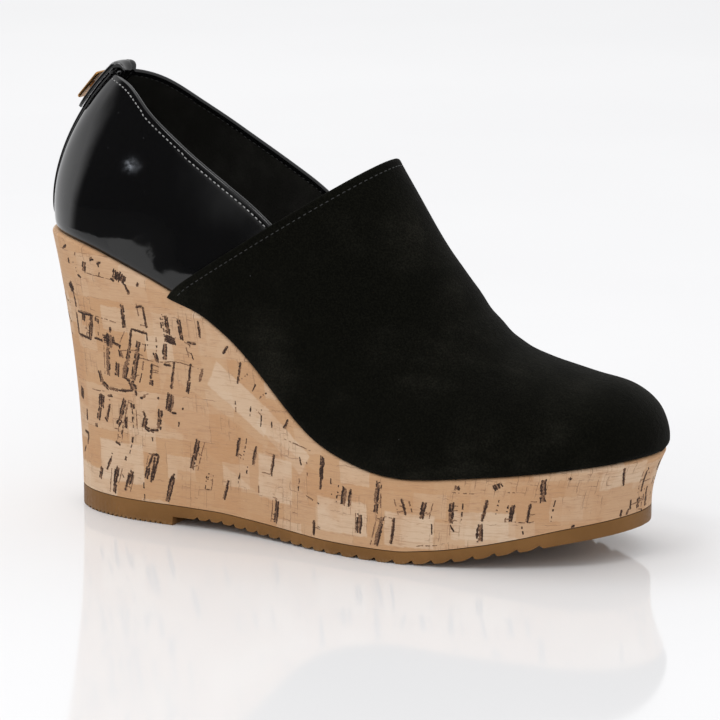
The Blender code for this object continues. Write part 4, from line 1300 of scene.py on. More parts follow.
def build_tab():
    """Pull tab folded over the top line, stitched along both edges."""
    stations = [("outside", climb) for climb in np.linspace(TAB_FROM_CLIMB, 1.0, 22)]
    stations += [("over", math.pi * i / 12) for i in range(1, 12)]
    stations += [("inside", climb) for climb in np.linspace(1.0, TAB_INNER_TO_CLIMB, 8)]
    reach = reach_along([tab_frame(station, 0.0)[0] for station in stations])

    def base(row, y, lift):
        point, away = tab_frame(stations[row], y)
        return point + lift * away

    def width_at(row):
        return rounded_end(reach[row] + TAB_END_START, TAB_WIDTH)
    points, faces = strip_body(range(len(stations)), width_at, TAB_THICKNESS, base)
    add_piece("patent_tab", points, faces, [PATENT_FINISH], ("heel_tab",))
    places = []
    for side in SIDES:
        chain, normals = [], []
        for row in range(3, len(stations)):
            y = side * SEAM_ACROSS_STRIP * width_at(row) / 2
            point, away = tab_frame(stations[row], y)
            chain.append(point + SEAM_LIFT * TAB_THICKNESS * away)
            normals.append(away)
        places += even_places(chain, normals, BACK_STITCH_PITCH)
    build_stitches("stitches_tab", places, BACK_STITCH, BACK_STITCH_SINK, BLACK_THREAD)


# The wedge, its cork sheet and the streaks in it

WEDGE_RUNGS = 330
WEDGE_LEVELS = 22
ROLL_STEPS = 8
SHEET_JOINT = 0.42         # the seat's share where the cork sheet's ends meet, on the inner side
# Pleats where the sheet is drawn in over the top edge: wavelength and depth in metres
PLEATS = ((0.0047, 0.00011), (0.0031, 0.00009), (0.0019, 0.00005))


def wedge_column(share, side, heights):
    """Points of the wedge's side at shares of its height up to the rounded edge."""
    low = sole_edge(share, side)
    high = seat(share, side)
    high[2] -= ROLL_RADIUS
    heights = np.asarray(heights)[:, None]
    points = low + (high - low) * heights ** FLARE_POWER
    points[:, 2:] = low[2] + (high[2] - low[2]) * heights
    return points


wedge_shares = crowded_ends(WEDGE_RUNGS + 1)
edge_reach = {side: reach_along([seat(share, side)[:2] for share in wedge_shares]) for side in SIDES}


def along_sheet(share, side, before_joint=True):
    """Distance along the cork sheet from the back, going forward on the outer side."""
    reach = np.interp(share, wedge_shares, edge_reach[side])
    if side == OUTER:
        return reach
    if before_joint:
        return -reach
    return edge_reach[OUTER][-1] + edge_reach[INNER][-1] - reach


def pleat(reach):
    """Depth of the pleats at a distance along the sheet."""
    return sum(depth * math.sin(2 * math.pi * reach / wave + 3 * math.sin(reach / (2.7 * wave)))
               for wave, depth in PLEATS)


def build_wedge(patches):
    """Wedge and platform under one cork sheet, drawn in over the rounded top edge."""
    heights = np.linspace(0, 1, WEDGE_LEVELS)

    def rolled(share, side):
        """The same side's points over the rounded edge."""
        reach = along_sheet(share, side, share <= SHEET_JOINT)
        edge = seat(share, side)
        outward = seat_outward(share, side)
        found = []
        for step in range(1, ROLL_STEPS + 1):
            angle = math.pi / 2 * step / ROLL_STEPS
            inset = ROLL_RADIUS * (1 - math.cos(angle))
            inset += pleat(reach) * math.sin(angle) * (1 - 0.5 * math.sin(angle))
            point = edge - inset * outward
            point[2] = seat_height(point[0]) - ROLL_RADIUS * (1 - math.sin(angle))
            found.append(point)
        return found

    points, faces, uvs = [], [], []
    ids = {}
    last_level = WEDGE_LEVELS + ROLL_STEPS - 1
    for j, share in enumerate(wedge_shares):
        for side in SIDES:
            same = side == INNER and j in (0, len(wedge_shares) - 1)
            for i in range(last_level + 1):
                ids[i, j, side] = ids[i, j, OUTER] if same else len(points) + i
            if not same:
                points += [*wedge_column(share, side, heights), *rolled(share, side)]
    points = np.array(points)
    for i in range(last_level):
        for j in range(len(wedge_shares) - 1):
            for side in SIDES:
                corners = [(i, j), (i, j + 1), (i + 1, j + 1), (i + 1, j)]
                if side == INNER:
                    corners = corners[1::-1] + corners[:1:-1]
                face = tuple(ids[a, b, side] for a, b in corners)
                before = wedge_shares[j + 1] <= SHEET_JOINT
                faces.append(face)
                for (a, b), corner in zip(corners, face):
                    uvs.append((along_sheet(wedge_shares[b], side, before), points[corner][2]))
    for i, flip in ((0, False), (last_level, True)):
        for j in range(len(wedge_shares) - 1):
            face = (ids[i, j, OUTER], ids[i, j, INNER], ids[i, j + 1, INNER], ids[i, j + 1, OUTER])
            face = drop_repeats(face[::-1] if flip else face)
            faces.append(face)
            uvs += [tuple(points[corner][:2]) for corner in face]
    add_piece("cork_wedge", points, faces, [cork_look(patches)], ("wedge",), uvs=uvs,
              crease=60)


def photo_pixel(points):
    """Where points of the shoe fall in the photograph: column and row."""
    ray = points - PHOTO_EYE
    depth = ray @ PHOTO_AHEAD
    return np.stack((PHOTO_MIDDLE_COLUMN + PHOTO_FOCAL * (ray @ PHOTO_RIGHT) / depth,
                     PHOTO_HORIZON_ROW - PHOTO_FOCAL * ray[..., 2] / depth), axis=-1)


CHART_SHARES = np.linspace(0, 1, 401)
CHART_HEIGHTS = np.linspace(0, 1, 61)
chart = {side: np.array([wedge_column(share, side, CHART_HEIGHTS) for share in CHART_SHARES])
         for side in SIDES}
chart_out = {side: np.cross(np.gradient(chart[side], axis=0), np.gradient(chart[side], axis=1))
             for side in SIDES}
for side in SIDES:
    chart_out[side] *= -side / np.maximum(np.linalg.norm(chart_out[side], axis=2), 1e-12)[..., None]
chart_pixels = photo_pixel(chart[OUTER])
hidden = (chart_out[OUTER] * (PHOTO_EYE - chart[OUTER])).sum(axis=2) < 0


HIDDEN_AWAY = 1e6                # added to the distance of what the photograph doesn't show
SHOWN_SHARES = (0.0005, 0.9995)
SHOWN_HEIGHTS = (0.01, 0.985)


def on_wedge(column, row):
    """Share and height on the wedge's outer side that a pixel of the photograph shows."""
    gap = chart_pixels - np.array([column, row])
    away = (gap ** 2).sum(axis=2) + HIDDEN_AWAY * hidden
    i, j = np.unravel_index(np.argmin(away), gap.shape[:2])
    i = min(max(i, 1), len(CHART_SHARES) - 2)
    j = min(max(j, 1), len(CHART_HEIGHTS) - 2)
    run = (chart_pixels[i + 1, j] - chart_pixels[i - 1, j]) / 2
    rise = (chart_pixels[i, j + 1] - chart_pixels[i, j - 1]) / 2
    step = np.linalg.solve(np.stack((run, rise), axis=1), -gap[i, j])
    step = np.clip(step, -1.5, 1.5)
    share = CHART_SHARES[i] + step[0] * (CHART_SHARES[1] - CHART_SHARES[0])
    height = CHART_HEIGHTS[j] + step[1] * (CHART_HEIGHTS[1] - CHART_HEIGHTS[0])
    return np.clip(share, *SHOWN_SHARES), np.clip(height, *SHOWN_HEIGHTS)


def read_chart(values, share, height):
    """A value between the chart's points."""
    a = np.clip(share, 0, 0.99999) * (len(CHART_SHARES) - 1)
    b = np.clip(height, 0, 0.99999) * (len(CHART_HEIGHTS) - 1)
    i, j = int(a), int(b)
    s, t = a - i, b - j
    return ((1 - s) * (1 - t) * values[i, j] + s * (1 - t) * values[i + 1, j]
            + (1 - s) * t * values[i, j + 1] + s * t * values[i + 1, j + 1])


# The dark streaks that show in the photograph, by kind: column and row of the two ends of each
MARKS = {
    "line": (
        (135.5, 394.7, 133.4, 399.5), (137.3, 405.8, 137.6, 409.6), (143.5, 417.9, 145.9, 420.4),
        (151.8, 407.9, 153.9, 405.1), (156.7, 410.6, 159.5, 408.6), (157.8, 409.9, 158, 412.7),
        (166.1, 420.7, 168.9, 422.4), (175.8, 424.5, 179.3, 432.2), (184.7, 426.6, 185.2, 423.5),
        (140.4, 429.4, 142.5, 440.8), (143.5, 443.6, 153.2, 446.4), (142.5, 444, 144.2, 459.9),
        (144.6, 459.9, 152.2, 463.1), (154.6, 462.4, 160.5, 464.5), (165.7, 454.7, 165.4, 459.2),
        (168.2, 466.2, 173, 469), (183.4, 440.8, 188, 440.2), (188.3, 440.5, 191.1, 455.8),
        (180, 456.1, 191.4, 459.6), (180.3, 456.5, 178.6, 471.1), (226.5, 449.5, 227.9, 462.4),
        (218.9, 465.5, 225.1, 466.9), (202.5, 481.1, 207.8, 482.5), (209.8, 479.4, 207.8, 498.8),
        (194.6, 480.8, 193.7, 491.9), (221.4, 480.8, 220.2, 493.3), (229.6, 484.2, 227.5, 494),
        (164.3, 498.1, 170.9, 499.9), (170.9, 499.9, 180.7, 499.9), (175.1, 490.5, 179.3, 493.3),
        (182.8, 499.5, 183.4, 503.7), (163.3, 503.3, 166.8, 503.7), (164.7, 509.2, 162.6, 520.4),
        (161.2, 519, 163.3, 521.8), (148.9, 512.7, 149.2, 521.1), (147.3, 528, 150.1, 530.8),
        (149.9, 530.8, 149.1, 537.7), (148, 539.1, 147, 543.3), (168.5, 536.3, 172, 538.1),
        (187.6, 514.1, 189.9, 519), (192.5, 528, 198.7, 528.3), (185.9, 504.7, 188, 505.4),
        (188, 505.1, 189.5, 503), (197.9, 505.5, 199.4, 505.3), (207.8, 515.5, 211.2, 516.2),
        (180.7, 532.9, 180, 537), (175.8, 546.8, 175.1, 550.2), (165.4, 548.1, 162.3, 556.5),
        (193.9, 545.4, 198.6, 546.1), (198.6, 546.1, 194.2, 564.1), (194.2, 546.1, 191.4, 554.4),
        (195.9, 547.4, 192.8, 565.5), (209.5, 559.2, 205.7, 566.2), (246.9, 465.9, 243.5, 473.6),
        (178, 558.5, 174.9, 571.5), (247.3, 563.9, 243.8, 577.7), (255.3, 533.3, 253, 547),
        (266.8, 539.4, 264.5, 553.2), (279, 545.5, 276.7, 560.1), (256.1, 479.7, 253.8, 495),
        (289, 519.5, 285.9, 527.1), (306.6, 593, 306.6, 602.9), (312.9, 546.8, 311.2, 570.9),
        (332.7, 570, 331, 582.9), (362.9, 590.7, 360.6, 609.6), (306.9, 592.4, 306.5, 603.6),
        (368, 576.9, 370.9, 588.9), (428.3, 577.8, 424, 593.3), (458.4, 580.3, 455.8, 594.1),
        (486, 561.4, 485.5, 563.6), (489.4, 595.8, 486.8, 600.1), (523.9, 554.5, 523, 567.4),
        (522.1, 584.6, 520.8, 592.4), (527, 583.8, 525.2, 590.7), (535.9, 583.8, 535.6, 588.1),),
    "bar": (
        (148.4, 408.6, 147.7, 415.8), (147.3, 445.4, 147.5, 450.6), (152.9, 446.1, 151.8, 463.4),
        (156.7, 448.5, 156.4, 451.6), (163.9, 469, 164.2, 489.1), (172.2, 471.1, 173.4, 476.6),
        (173.7, 439.1, 175.1, 455.8), (178.6, 471.1, 175.1, 491.9), (185.4, 464.8, 181.2, 492.6),
        (196.3, 473.1, 198.4, 480.1), (204.6, 447.4, 206, 459.9), (203.6, 466.2, 203.8, 478.7),
        (213.2, 449.2, 215.4, 464.1), (193.5, 491.9, 193.5, 496.1), (220.2, 493.3, 218.9, 501.6),
        (170.6, 480.1, 170.2, 489.8), (157.8, 485.6, 159.5, 494), (159.5, 494, 164.3, 498.1),
        (158.2, 511.3, 156.7, 520.4), (155.2, 523.1, 155.5, 525.9), (175.3, 505.8, 171.6, 521.8),
        (171.6, 521.8, 170.2, 524.5), (176.2, 518.3, 175.8, 526.6), (180.9, 509.2, 180.7, 512.7),
        (189.9, 519, 188, 526.6), (199.8, 513.4, 198.5, 527.3), (189.7, 526.6, 192.5, 528),
        (159.1, 554.4, 157.8, 562.7), (170.4, 554.4, 167.5, 565.5), (180, 557.2, 177.2, 566.9),
        (191.4, 554.4, 189.7, 562.7), (226.2, 534.9, 221.3, 555.8), (168.8, 556.2, 167.3, 573.1),
        (208.6, 561.6, 204, 579.9), (312.7, 547, 311.9, 562.3), (281.3, 578.4, 279.8, 594.5),
        (328, 568.5, 326.5, 581.5), (328.4, 569.1, 326.7, 581.2), (351.7, 562.3, 349.9, 587.2),
        (338.7, 588.1, 338.2, 601.9), (354.8, 589.8, 349.9, 610.5), (384.4, 579.5, 381.8, 591.5),
        (403.3, 579.5, 402.5, 595), (407.6, 564, 406.8, 570.9), (423.1, 595, 423.1, 607.9),
        (446.4, 581.2, 443.8, 593.3), (467.9, 562.3, 466.7, 579.5),),
    "blob": (
        (170.6, 414.8, 170.1, 421.8), (174.4, 414.1, 173.4, 423.1), (138, 423.1, 140.4, 429.4),
        (164.9, 459.9, 164.9, 469), (160.9, 463.1, 168.9, 465.2), (203.2, 462.4, 210.9, 465.5),
        (179.6, 493.3, 182.4, 499.5), (145.8, 497.4, 146.1, 505.1), (159.3, 502.3, 158.6, 511.3),
        (207.3, 502.3, 205.9, 514.8), (434.3, 564.8, 436, 570),),
    "dots": (
        (142.1, 402.3, 140.7, 409.9), (142.5, 412.7, 143.5, 417.9), (158.4, 414.5, 158.3, 419),
        (133.4, 426.6, 139, 438.4), (136.2, 441.2, 140.4, 453.7), (137.6, 454.4, 139.7, 459.9),
        (148.4, 451.6, 149.8, 462), (156.4, 452.3, 157.1, 460.6), (172, 467.6, 172.2, 471.1),
        (191.3, 459.6, 191.6, 469), (197.7, 460.6, 197.3, 472.4), (200.5, 448.1, 201.5, 459.9),
        (220.2, 466.9, 223, 478), (164.7, 503.7, 164.6, 508.6), (175.8, 507.9, 176.2, 518.3),
        (180.3, 512.7, 181, 526.6), (174.1, 524.5, 173, 532.2), (194.3, 531.5, 194.4, 537),
        (216.8, 507.2, 215.4, 515.5), (213.3, 519.7, 212.3, 527.3), (180, 538.4, 178.2, 544.7),
        (166.4, 541.2, 165.4, 548.1), (173, 559.9, 175.8, 566.2), (233.8, 557.2, 232.8, 564.1),
        (188, 562.3, 188.7, 577.7), (232.3, 559.3, 230.8, 570), (259.9, 534, 257.6, 549.3),
        (255.3, 557.8, 253.8, 566.2), (260.7, 553.2, 259.1, 562.3), (263, 484.3, 256.8, 491.9),
        (267.6, 488.9, 263.7, 501.1), (274.4, 499.6, 269.1, 505.7), (252.2, 507.2, 252.2, 514.9),
        (263, 510.3, 262.2, 518), (270.6, 511.8, 269.8, 525.6), (277.5, 518, 277.5, 527.1),
        (301.2, 547, 302, 560.8), (296.6, 547, 298.2, 553.2), (268.3, 566.9, 268.3, 573.1),
        (301.2, 574.6, 310.4, 580.7), (296.6, 560.8, 295.9, 571.5), (318.1, 558, 319.3, 574.3),
        (373.2, 577.8, 375.8, 586.4), (388.7, 594.1, 389.5, 602.7), (401.6, 595, 405, 602.7),
        (411.1, 580.3, 410.2, 592.4), (436, 577.8, 433.5, 588.1), (452.4, 596.7, 453.3, 602.7),
        (475.6, 577.8, 473.1, 593.3), (540.2, 553.6, 541.1, 558.8), (544.2, 567.4, 541.1, 586.4),),
    "thin": (
        (148.7, 416.5, 154.3, 418.3), (154.3, 418.3, 166.1, 421.1), (153.2, 446.4, 170.9, 452.3),
        (175.5, 457.9, 172.3, 466.2), (173, 471.8, 182.8, 471.4), (182.1, 475.9, 196.6, 479.4),
        (198, 479.7, 210.5, 479.4), (210.5, 479.4, 229.3, 484.9), (200.5, 447.4, 205.7, 447.1),
        (152.9, 498.8, 161.2, 500.2), (177.2, 507.9, 181.4, 510.6), (170.9, 524.5, 169.9, 536.3),
        (166.8, 526.6, 170.9, 527.3), (193.9, 529.4, 196.3, 530.1), (189.5, 503, 191.8, 502.3),
        (270.6, 558.5, 276.7, 560.1), (284.4, 533.3, 304.3, 542.4), (356, 589.8, 363.7, 591.5),
        (403.3, 572.6, 418.8, 573.5), (442.1, 572.6, 447.2, 572.6), (444.6, 593.3, 455.8, 595),
        (458.4, 579.1, 469.6, 579.1), (378.3, 611.3, 393, 610.5),),
}

# Each kind's width in metres, how many dark lines it has side by side, the share of them that is
# broken away, the share of its lines that is brown, and whether a brown band lies under them
KINDS = {
    "line": (0.00080, 1, 0.03, 0.05, True),
    "bar": (0.00150, 2, 0.07, 0.12, True),
    "blob": (0.00300, 4, 0.04, 0.10, True),
    "dots": (0.00062, 1, 0.24, 0.25, False),
    "thin": (0.00042, 1, 0.08, 1.00, False),
}
STREAK_STEP = 0.00042
STREAK_PROUD = 0.00005
BAND_PROUD = 0.00003
RUNGS_SHARE = 0.45         # of the long upright streaks that have thin walls beside them
LADDER_ROWS = 10           # of the photograph, that a streak with such walls covers
STREAK_SUNK = 0.00012


# Chances of the streaks, as ranges where they hold two numbers. Each side of a sliver, each step of a
# line and each step of the brown band behind it is drawn at a share of its width
HALF_WIDTHS = (0.6, 1.3)
LINE_WIDTHS = (0.65, 1.3)
BAND_WIDTHS = (0.7, 1.15)
LONE_BAND_WIDTH = 1.5      # a band behind one line, in widths of that line
LINE_OVERLAP = 1.1         # how much of its place a line among several fills
LINES_SPREAD = 0.8
DRIFT_START = 0.12         # how far a line strays from its path, in widths, and how steadily
DRIFT_KEPT = 0.93
DRIFT_STEP = 0.09
BLUNT_FROM = 0.10          # a line tapers to its ends up to here, and by this power
BLUNT_POWER = 0.35
RUNG_REACHES = (0.0016, 0.0032)
RUNG_COUNTS = (1, 2, 3)
RUNG_PLACES = (-0.1, 1.1)
RUNG_TILT = 0.0003
RAIL_SHARE = 0.6
GROUP_HEIGHTS = (0.05, 0.95)
GROUP_LEAN = (-0.04, 0.10)       # middle and spread
GROUP_COUNTS = (1, 1, 2, 3, 4)
GROUP_PITCHES = (0.0022, 0.0045)
GROUP_KINDS = (("line", "bar", "dots", "blob"), (5, 3, 5, 0.5))
FILL_LENGTHS = (0.0035, 0.0105)
BLOB_LENGTHS = (0.003, 0.005)
LEVEL_LENGTHS = (0.003, 0.008)
LEVEL_SHARE = 0.4

# How near the edges of the wedge's side a streak may come, and where one that starts past them is
# drawn in to: ranges of share and height
WITHIN_SIDE = ((0.0005, 0.9995), (0.004, 0.992))
DRAWN_TO = ((0.0006, 0.9994), (0.005, 0.991))


def on_side(spot):
    """Whether a spot lies well within the side of the wedge."""
    return all(low < value < high for value, (low, high) in zip(spot, WITHIN_SIDE))


def drawn_in(spot):
    """A spot, drawn in to the side's edges if it lies past them."""
    return np.array([min(max(value, low), high) for value, (low, high) in zip(spot, DRAWN_TO)])


def side_height(side, share):
    """How tall the wedge's side is, measured along it."""
    low, high = (read_chart(chart[side], share, height) for height in (0.01, 0.99))
    return np.linalg.norm(high - low)


def between(start, end, t):
    return np.array(start) * (1 - t) + np.array(end) * t


class Streaks:
    """Ragged dark streaks lying in the cork, collected into one body of many slivers."""

    def __init__(self, seed):
        self.random = random.Random(seed)
        self.points = []
        self.faces = []
        self.finish_of = []

    def sliver(self, side, path, widths, brown, proud=STREAK_PROUD):
        """One unbroken ragged run along a path of shares and heights."""
        first = len(self.points)
        ends = [read_chart(chart[side], *spot) for spot in (path[0], path[-1])]
        run = unit(ends[1] - ends[0])
        for spot, width in zip(path, widths):
            point = read_chart(chart[side], *spot)
            out = unit(read_chart(chart_out[side], *spot))
            across = unit(np.cross(out, run))
            left = width / 2 * self.random.uniform(*HALF_WIDTHS)
            right = width / 2 * self.random.uniform(*HALF_WIDTHS)
            self.points += [point - left * across + proud * out,
                            point + right * across + proud * out,
                            point - left * across - STREAK_SUNK * out,
                            point + right * across - STREAK_SUNK * out]
        made = []
        for k in range(len(path) - 1):
            a, b = first + 4 * k, first + 4 * (k + 1)
            made += [(a, a + 1, b + 1, b), (a + 1, a + 3, b + 3, b + 1), (a + 3, a + 2, b + 2, b + 3),
                     (a + 2, a, b, b + 2)]
        last = first + 4 * (len(path) - 1)
        made += [(first + 2, first + 3, first + 1, first), (last, last + 1, last + 3, last + 2)]
        self.faces += made
        self.finish_of += [1 if brown else 0] * len(made)

    def streak(self, side, start, end, kind):
        """One streak between two spots, as its lines side by side, each broken by its kind."""
        width, lines, broken, browned, banded = KINDS[kind]
        a, b = (read_chart(chart[side], *spot) for spot in (start, end))
        length = np.linalg.norm(b - a)
        steps = max(int(length / STREAK_STEP), 2)
        scale = np.array([plan_length, side_height(side, start[0])])
        flat = np.array([end[0] - start[0], end[1] - start[1]]) * scale
        across = np.array([-flat[1], flat[0]])
        across = across / max(np.linalg.norm(across), 1e-9) / scale
        if banded:
            path = [drawn_in(between(start, end, (k + 0.5) / steps)) for k in range(steps)]
            wide = LONE_BAND_WIDTH * width if lines == 1 else width
            widths = [wide * self.random.uniform(*BAND_WIDTHS) for _ in path]
            self.sliver(side, path, widths, True, BAND_PROUD)
        for line in range(lines):
            spread = (line / max(lines - 1, 1) - 0.5) * (LINES_SPREAD * width if lines > 1 else 0.0)
            line_width = width if lines == 1 else LINE_OVERLAP * width / lines
            drift = self.random.uniform(-DRIFT_START, DRIFT_START) * line_width
            path, widths = [], []

            def close():
                if len(path) > 1:
                    self.sliver(side, path, widths, self.random.random() < browned)
                path.clear()
                widths.clear()
            for k in range(steps + 1):
                t = k / steps
                drift = DRIFT_KEPT * drift + self.random.gauss(0, DRIFT_STEP) * line_width
                spot = between(start, end, t) + across * (spread + drift)
                if self.random.random() < broken or not on_side(spot):
                    close()
                    continue
                bulge = math.sin(math.pi * min(max(t, BLUNT_FROM), 1 - BLUNT_FROM)) ** BLUNT_POWER
                path.append(spot)
                widths.append(line_width * bulge * self.random.uniform(*LINE_WIDTHS))
            close()

    def rungs(self, side, start, end):
        """Thin brown walls around a streak, like the rungs of a ladder, with a rail beside it."""
        tall = side_height(side, start[0])
        away = self.random.choice((-1, 1)) * self.random.uniform(*RUNG_REACHES) / plan_length
        rail = [np.array(spot) + (away, 0.0) for spot in (start, end)]
        if self.random.random() < RAIL_SHARE:
            self.streak(side, drawn_in(rail[0]), drawn_in(rail[1]),
                        self.random.choice(("thin", "dots", "thin")))
        for _ in range(self.random.choice(RUNG_COUNTS)):
            spot = between(start, end, self.random.uniform(*RUNG_PLACES))
            tilt = self.random.gauss(0, RUNG_TILT) / tall
            self.streak(side, drawn_in(spot), drawn_in(spot + (away, tilt)), "thin")

    def fill(self, side, share_from, share_to, count):
        """Streaks in loose upright groups over a stretch of the side that the photo doesn't show."""
        for _ in range(count):
            share = self.random.uniform(share_from, share_to)
            height = self.random.uniform(*GROUP_HEIGHTS)
            tall = side_height(side, share)
            lean = self.random.gauss(*GROUP_LEAN)
            for k in range(self.random.choice(GROUP_COUNTS)):
                long = self.random.uniform(*FILL_LENGTHS)
                kind = self.random.choices(*GROUP_KINDS)[0]
                if kind == "blob":
                    long = self.random.uniform(*BLOB_LENGTHS)
                at = share + k * self.random.uniform(*GROUP_PITCHES) / plan_length
                low_h = height - long / 2 / tall + self.random.gauss(0, 0.02)
                high_h = low_h + long / tall
                if at > share_to or low_h < 0.02 or high_h > 0.97:
                    continue
                start, end = (at, low_h), (at + lean * long / plan_length, high_h)
                self.streak(side, start, end, kind)
                if self.random.random() < RUNGS_SHARE:
                    self.rungs(side, start, end)
            if self.random.random() < LEVEL_SHARE and share + 0.01 < share_to:
                wide = self.random.uniform(*LEVEL_LENGTHS) / plan_length
                end = (min(share + wide, share_to), height)
                self.streak(side, (share, height), end, "thin")


STREAK_SEED = 11

# Stretches of the sides that the photograph doesn't show
FILLS = (
    # side, shares from and to, groups
    (OUTER, 0.955, 0.998, 5),
    (INNER, 0.002, 0.450, 62),
    (INNER, 0.450, 0.998, 40),
)


def build_streaks():
    streaks = Streaks(STREAK_SEED)
    for kind, ends in MARKS.items():
        for start_column, start_row, end_column, end_row in ends:
            start, end = on_wedge(start_column, start_row), on_wedge(end_column, end_row)
            streaks.streak(OUTER, start, end, kind)
            if end_row - start_row > LADDER_ROWS and streaks.random.random() < RUNGS_SHARE:
                streaks.rungs(OUTER, start, end)
    for stretch in FILLS:
        streaks.fill(*stretch)
    add_piece("cork_streaks", np.array(streaks.points), streaks.faces, [BARK_DARK, BARK_BROWN],
              finish_of=streaks.finish_of, crease=80)


# Slices of the sheet that stand out in the photograph: middle, half length and half height in
# metres, lean in degrees and colour
SLICES = (
    # column, row, half length, half height, lean, colour
    (256, 506, 0.0150, 0.0055, -33, CORK_CREAM),
    (285, 535, 0.0130, 0.0048, -38, CORK_CREAM),
    (243, 534, 0.0300, 0.0090, -27, CORK_ORANGE),
    (300, 562, 0.0200, 0.0055, -24, CORK_ORANGE),
    (136, 480, 0.0150, 0.0120, 0, CORK_ORANGE),
    (172, 551, 0.0115, 0.0075, 0, CORK_CREAM),
    (150, 578, 0.0160, 0.0080, 0, CORK_CREAM),
    (228, 571, 0.0110, 0.0060, -4, CORK_TAN),
    (280, 563, 0.0085, 0.0080, -4, CORK_CREAM),
    (326, 590, 0.0115, 0.0060, 0, CORK_CREAM),
    (373, 600, 0.0100, 0.0060, 0, CORK_CREAM),
    (425, 597, 0.0120, 0.0050, 0, CORK_CREAM),
    (500, 582, 0.0300, 0.0095, 3, CORK_ORANGE),
    (524, 560, 0.0100, 0.0040, 4, CORK_CREAM),
)


def charted_slices():
    """The slices as places on the cork sheet."""
    found = []
    for column, row, half_length, half_height, lean, colour in SLICES:
        share, height = on_wedge(column, row)
        point = read_chart(chart[OUTER], share, height)
        centre = (float(along_sheet(share, OUTER)), float(point[2]))
        found.append((centre, (half_length, half_height), math.radians(lean), colour))
    return found


# The rubber sole

HEEL_NOTCH_PITCH = 0.0022
HEEL_NOTCH_DEPTH = 0.0006
HEEL_NOTCHES_TO = 0.046
SOLE_BEVEL = 0.0005
RUNG_STEP = 0.0016


# A tooth falls steeply from the notch behind it, is flat, and rises gently to the next notch:
# shares of its pitch and of its depth
TOOTH = ((0.00, 1.0), (0.05, 0.85), (0.10, 0.38), (0.15, 0.10), (0.20, 0.0), (0.36, 0.0),
         (0.52, 0.0), (0.62, 0.08), (0.72, 0.22), (0.80, 0.40), (0.90, 0.72), (0.96, 0.93))


def teeth():
    """Stations of the tread as distance along the sole and lift above the tread's lowest line."""
    found = []
    x = HEEL_BREAST + 2 * WAIST_PITCH
    while x < TEETH_END_SHARE * SOLE_LENGTH:
        in_ball = x > BALL_TEETH_SHARE * SOLE_LENGTH
        pitch = BALL_PITCH if in_ball else WAIST_PITCH
        depth = BALL_TOOTH if in_ball else WAIST_TOOTH
        found += [(x + share * pitch, lift * depth) for share, lift in TOOTH]
        x += pitch
    found += [(x, BALL_TOOTH), (x + BALL_PITCH * 0.08, BALL_TOOTH * 0.5),
              (x + BALL_PITCH * 0.18, 0.0)]
    return found


def heel_notches():
    """The fine cross grooves under the heel, as distance along the sole and lift off the floor."""
    found = []
    x = HEEL_NOTCH_PITCH * 0.8
    while x < HEEL_NOTCHES_TO:
        half = HEEL_NOTCH_PITCH * 0.24
        found += [(x - half, 0.0), (x - half / 2, HEEL_NOTCH_DEPTH), (x + half / 2, HEEL_NOTCH_DEPTH),
                  (x + half, 0.0)]
        x += HEEL_NOTCH_PITCH
    return found


def spread(start, end):
    """Even stations between two distances, without the ends."""
    count = max(int((end - start) / RUNG_STEP), 1)
    return [(start + (end - start) * i / count, 0.0) for i in range(1, count)]


def build_sole():
    """Rubber sole with a notched heel, a step and a toothed tread, its lower edge just rounded."""
    fine = np.linspace(0, 1, 4001)
    fine_x = seat_along(fine) * SOLE_LENGTH
    step = FIT_GAP / 2
    tread = teeth()
    notches = heel_notches()
    back = [(SOLE_LENGTH * (0.5 - 0.5 * math.cos(turn)) * 0.02, 0.0)
            for turn in np.linspace(0.15, math.pi, 8)]
    back = [rung for rung in back if rung[0] < notches[0][0] - step]
    rungs = [(0.0, 0.0), *back, *notches, *spread(notches[-1][0], HEEL_BREAST - step),
             (HEEL_BREAST - step, 0.0), (HEEL_BREAST + step, 0.0),
             *spread(HEEL_BREAST + step, tread[0][0]), *tread]
    toe = [(x, 0.0) for x in fine_x[::50] if x > tread[-1][0] + step]
    rungs += toe if toe[-1][0] > SOLE_LENGTH - 1e-7 else [*toe, (SOLE_LENGTH, 0.0)]
    points, ids = [], []
    for k, inset in enumerate((SOLE_BEVEL, SOLE_BEVEL * 0.3, 0.0, 0.0)):
        row = []
        for i, (x, lift) in enumerate(rungs):
            share = float(np.interp(x, fine_x, fine))
            low = lift if x < HEEL_BREAST else float(tread_line(x)) + lift
            high = cork_floor(x) - FIT_GAP
            height = (low, low + SOLE_BEVEL * 0.3, low + SOLE_BEVEL, high)[k]
            place = []
            for side in SIDES:
                edge = sole_edge(share, side)
                point = np.array([x, edge[1], 0.0]) - inset * seat_outward(share, side)
                place.append(np.array([point[0] if i in (0, len(rungs) - 1) else x, point[1], height]))
            first = len(points)
            if i in (0, len(rungs) - 1):
                points.append((place[0] + place[1]) / 2)
                row.append((first, first))
                continue
            points += place
            row.append((first, first + 1))
        ids.append(row)
    faces = []
    for low, high in zip(ids, ids[1:]):
        for i in range(len(low) - 1):
            faces.append(drop_repeats((low[i][0], low[i + 1][0], high[i + 1][0], high[i][0])))
            faces.append(drop_repeats((low[i + 1][1], low[i][1], high[i][1], high[i + 1][1])))
    for i in range(len(ids[0]) - 1):
        low, high = ids[0], ids[-1]
        faces.append(drop_repeats((low[i][0], low[i][1], low[i + 1][1], low[i + 1][0])))
        faces.append(drop_repeats((high[i][0], high[i + 1][0], high[i + 1][1], high[i][1])))
    add_piece("rubber_sole", np.array(points), faces, [RUBBER_FINISH], ("outsole",),
              crease=35)


# The sock

SOCK_DISH = 0.0006         # how much lower the middle of the sock's top lies than its edge


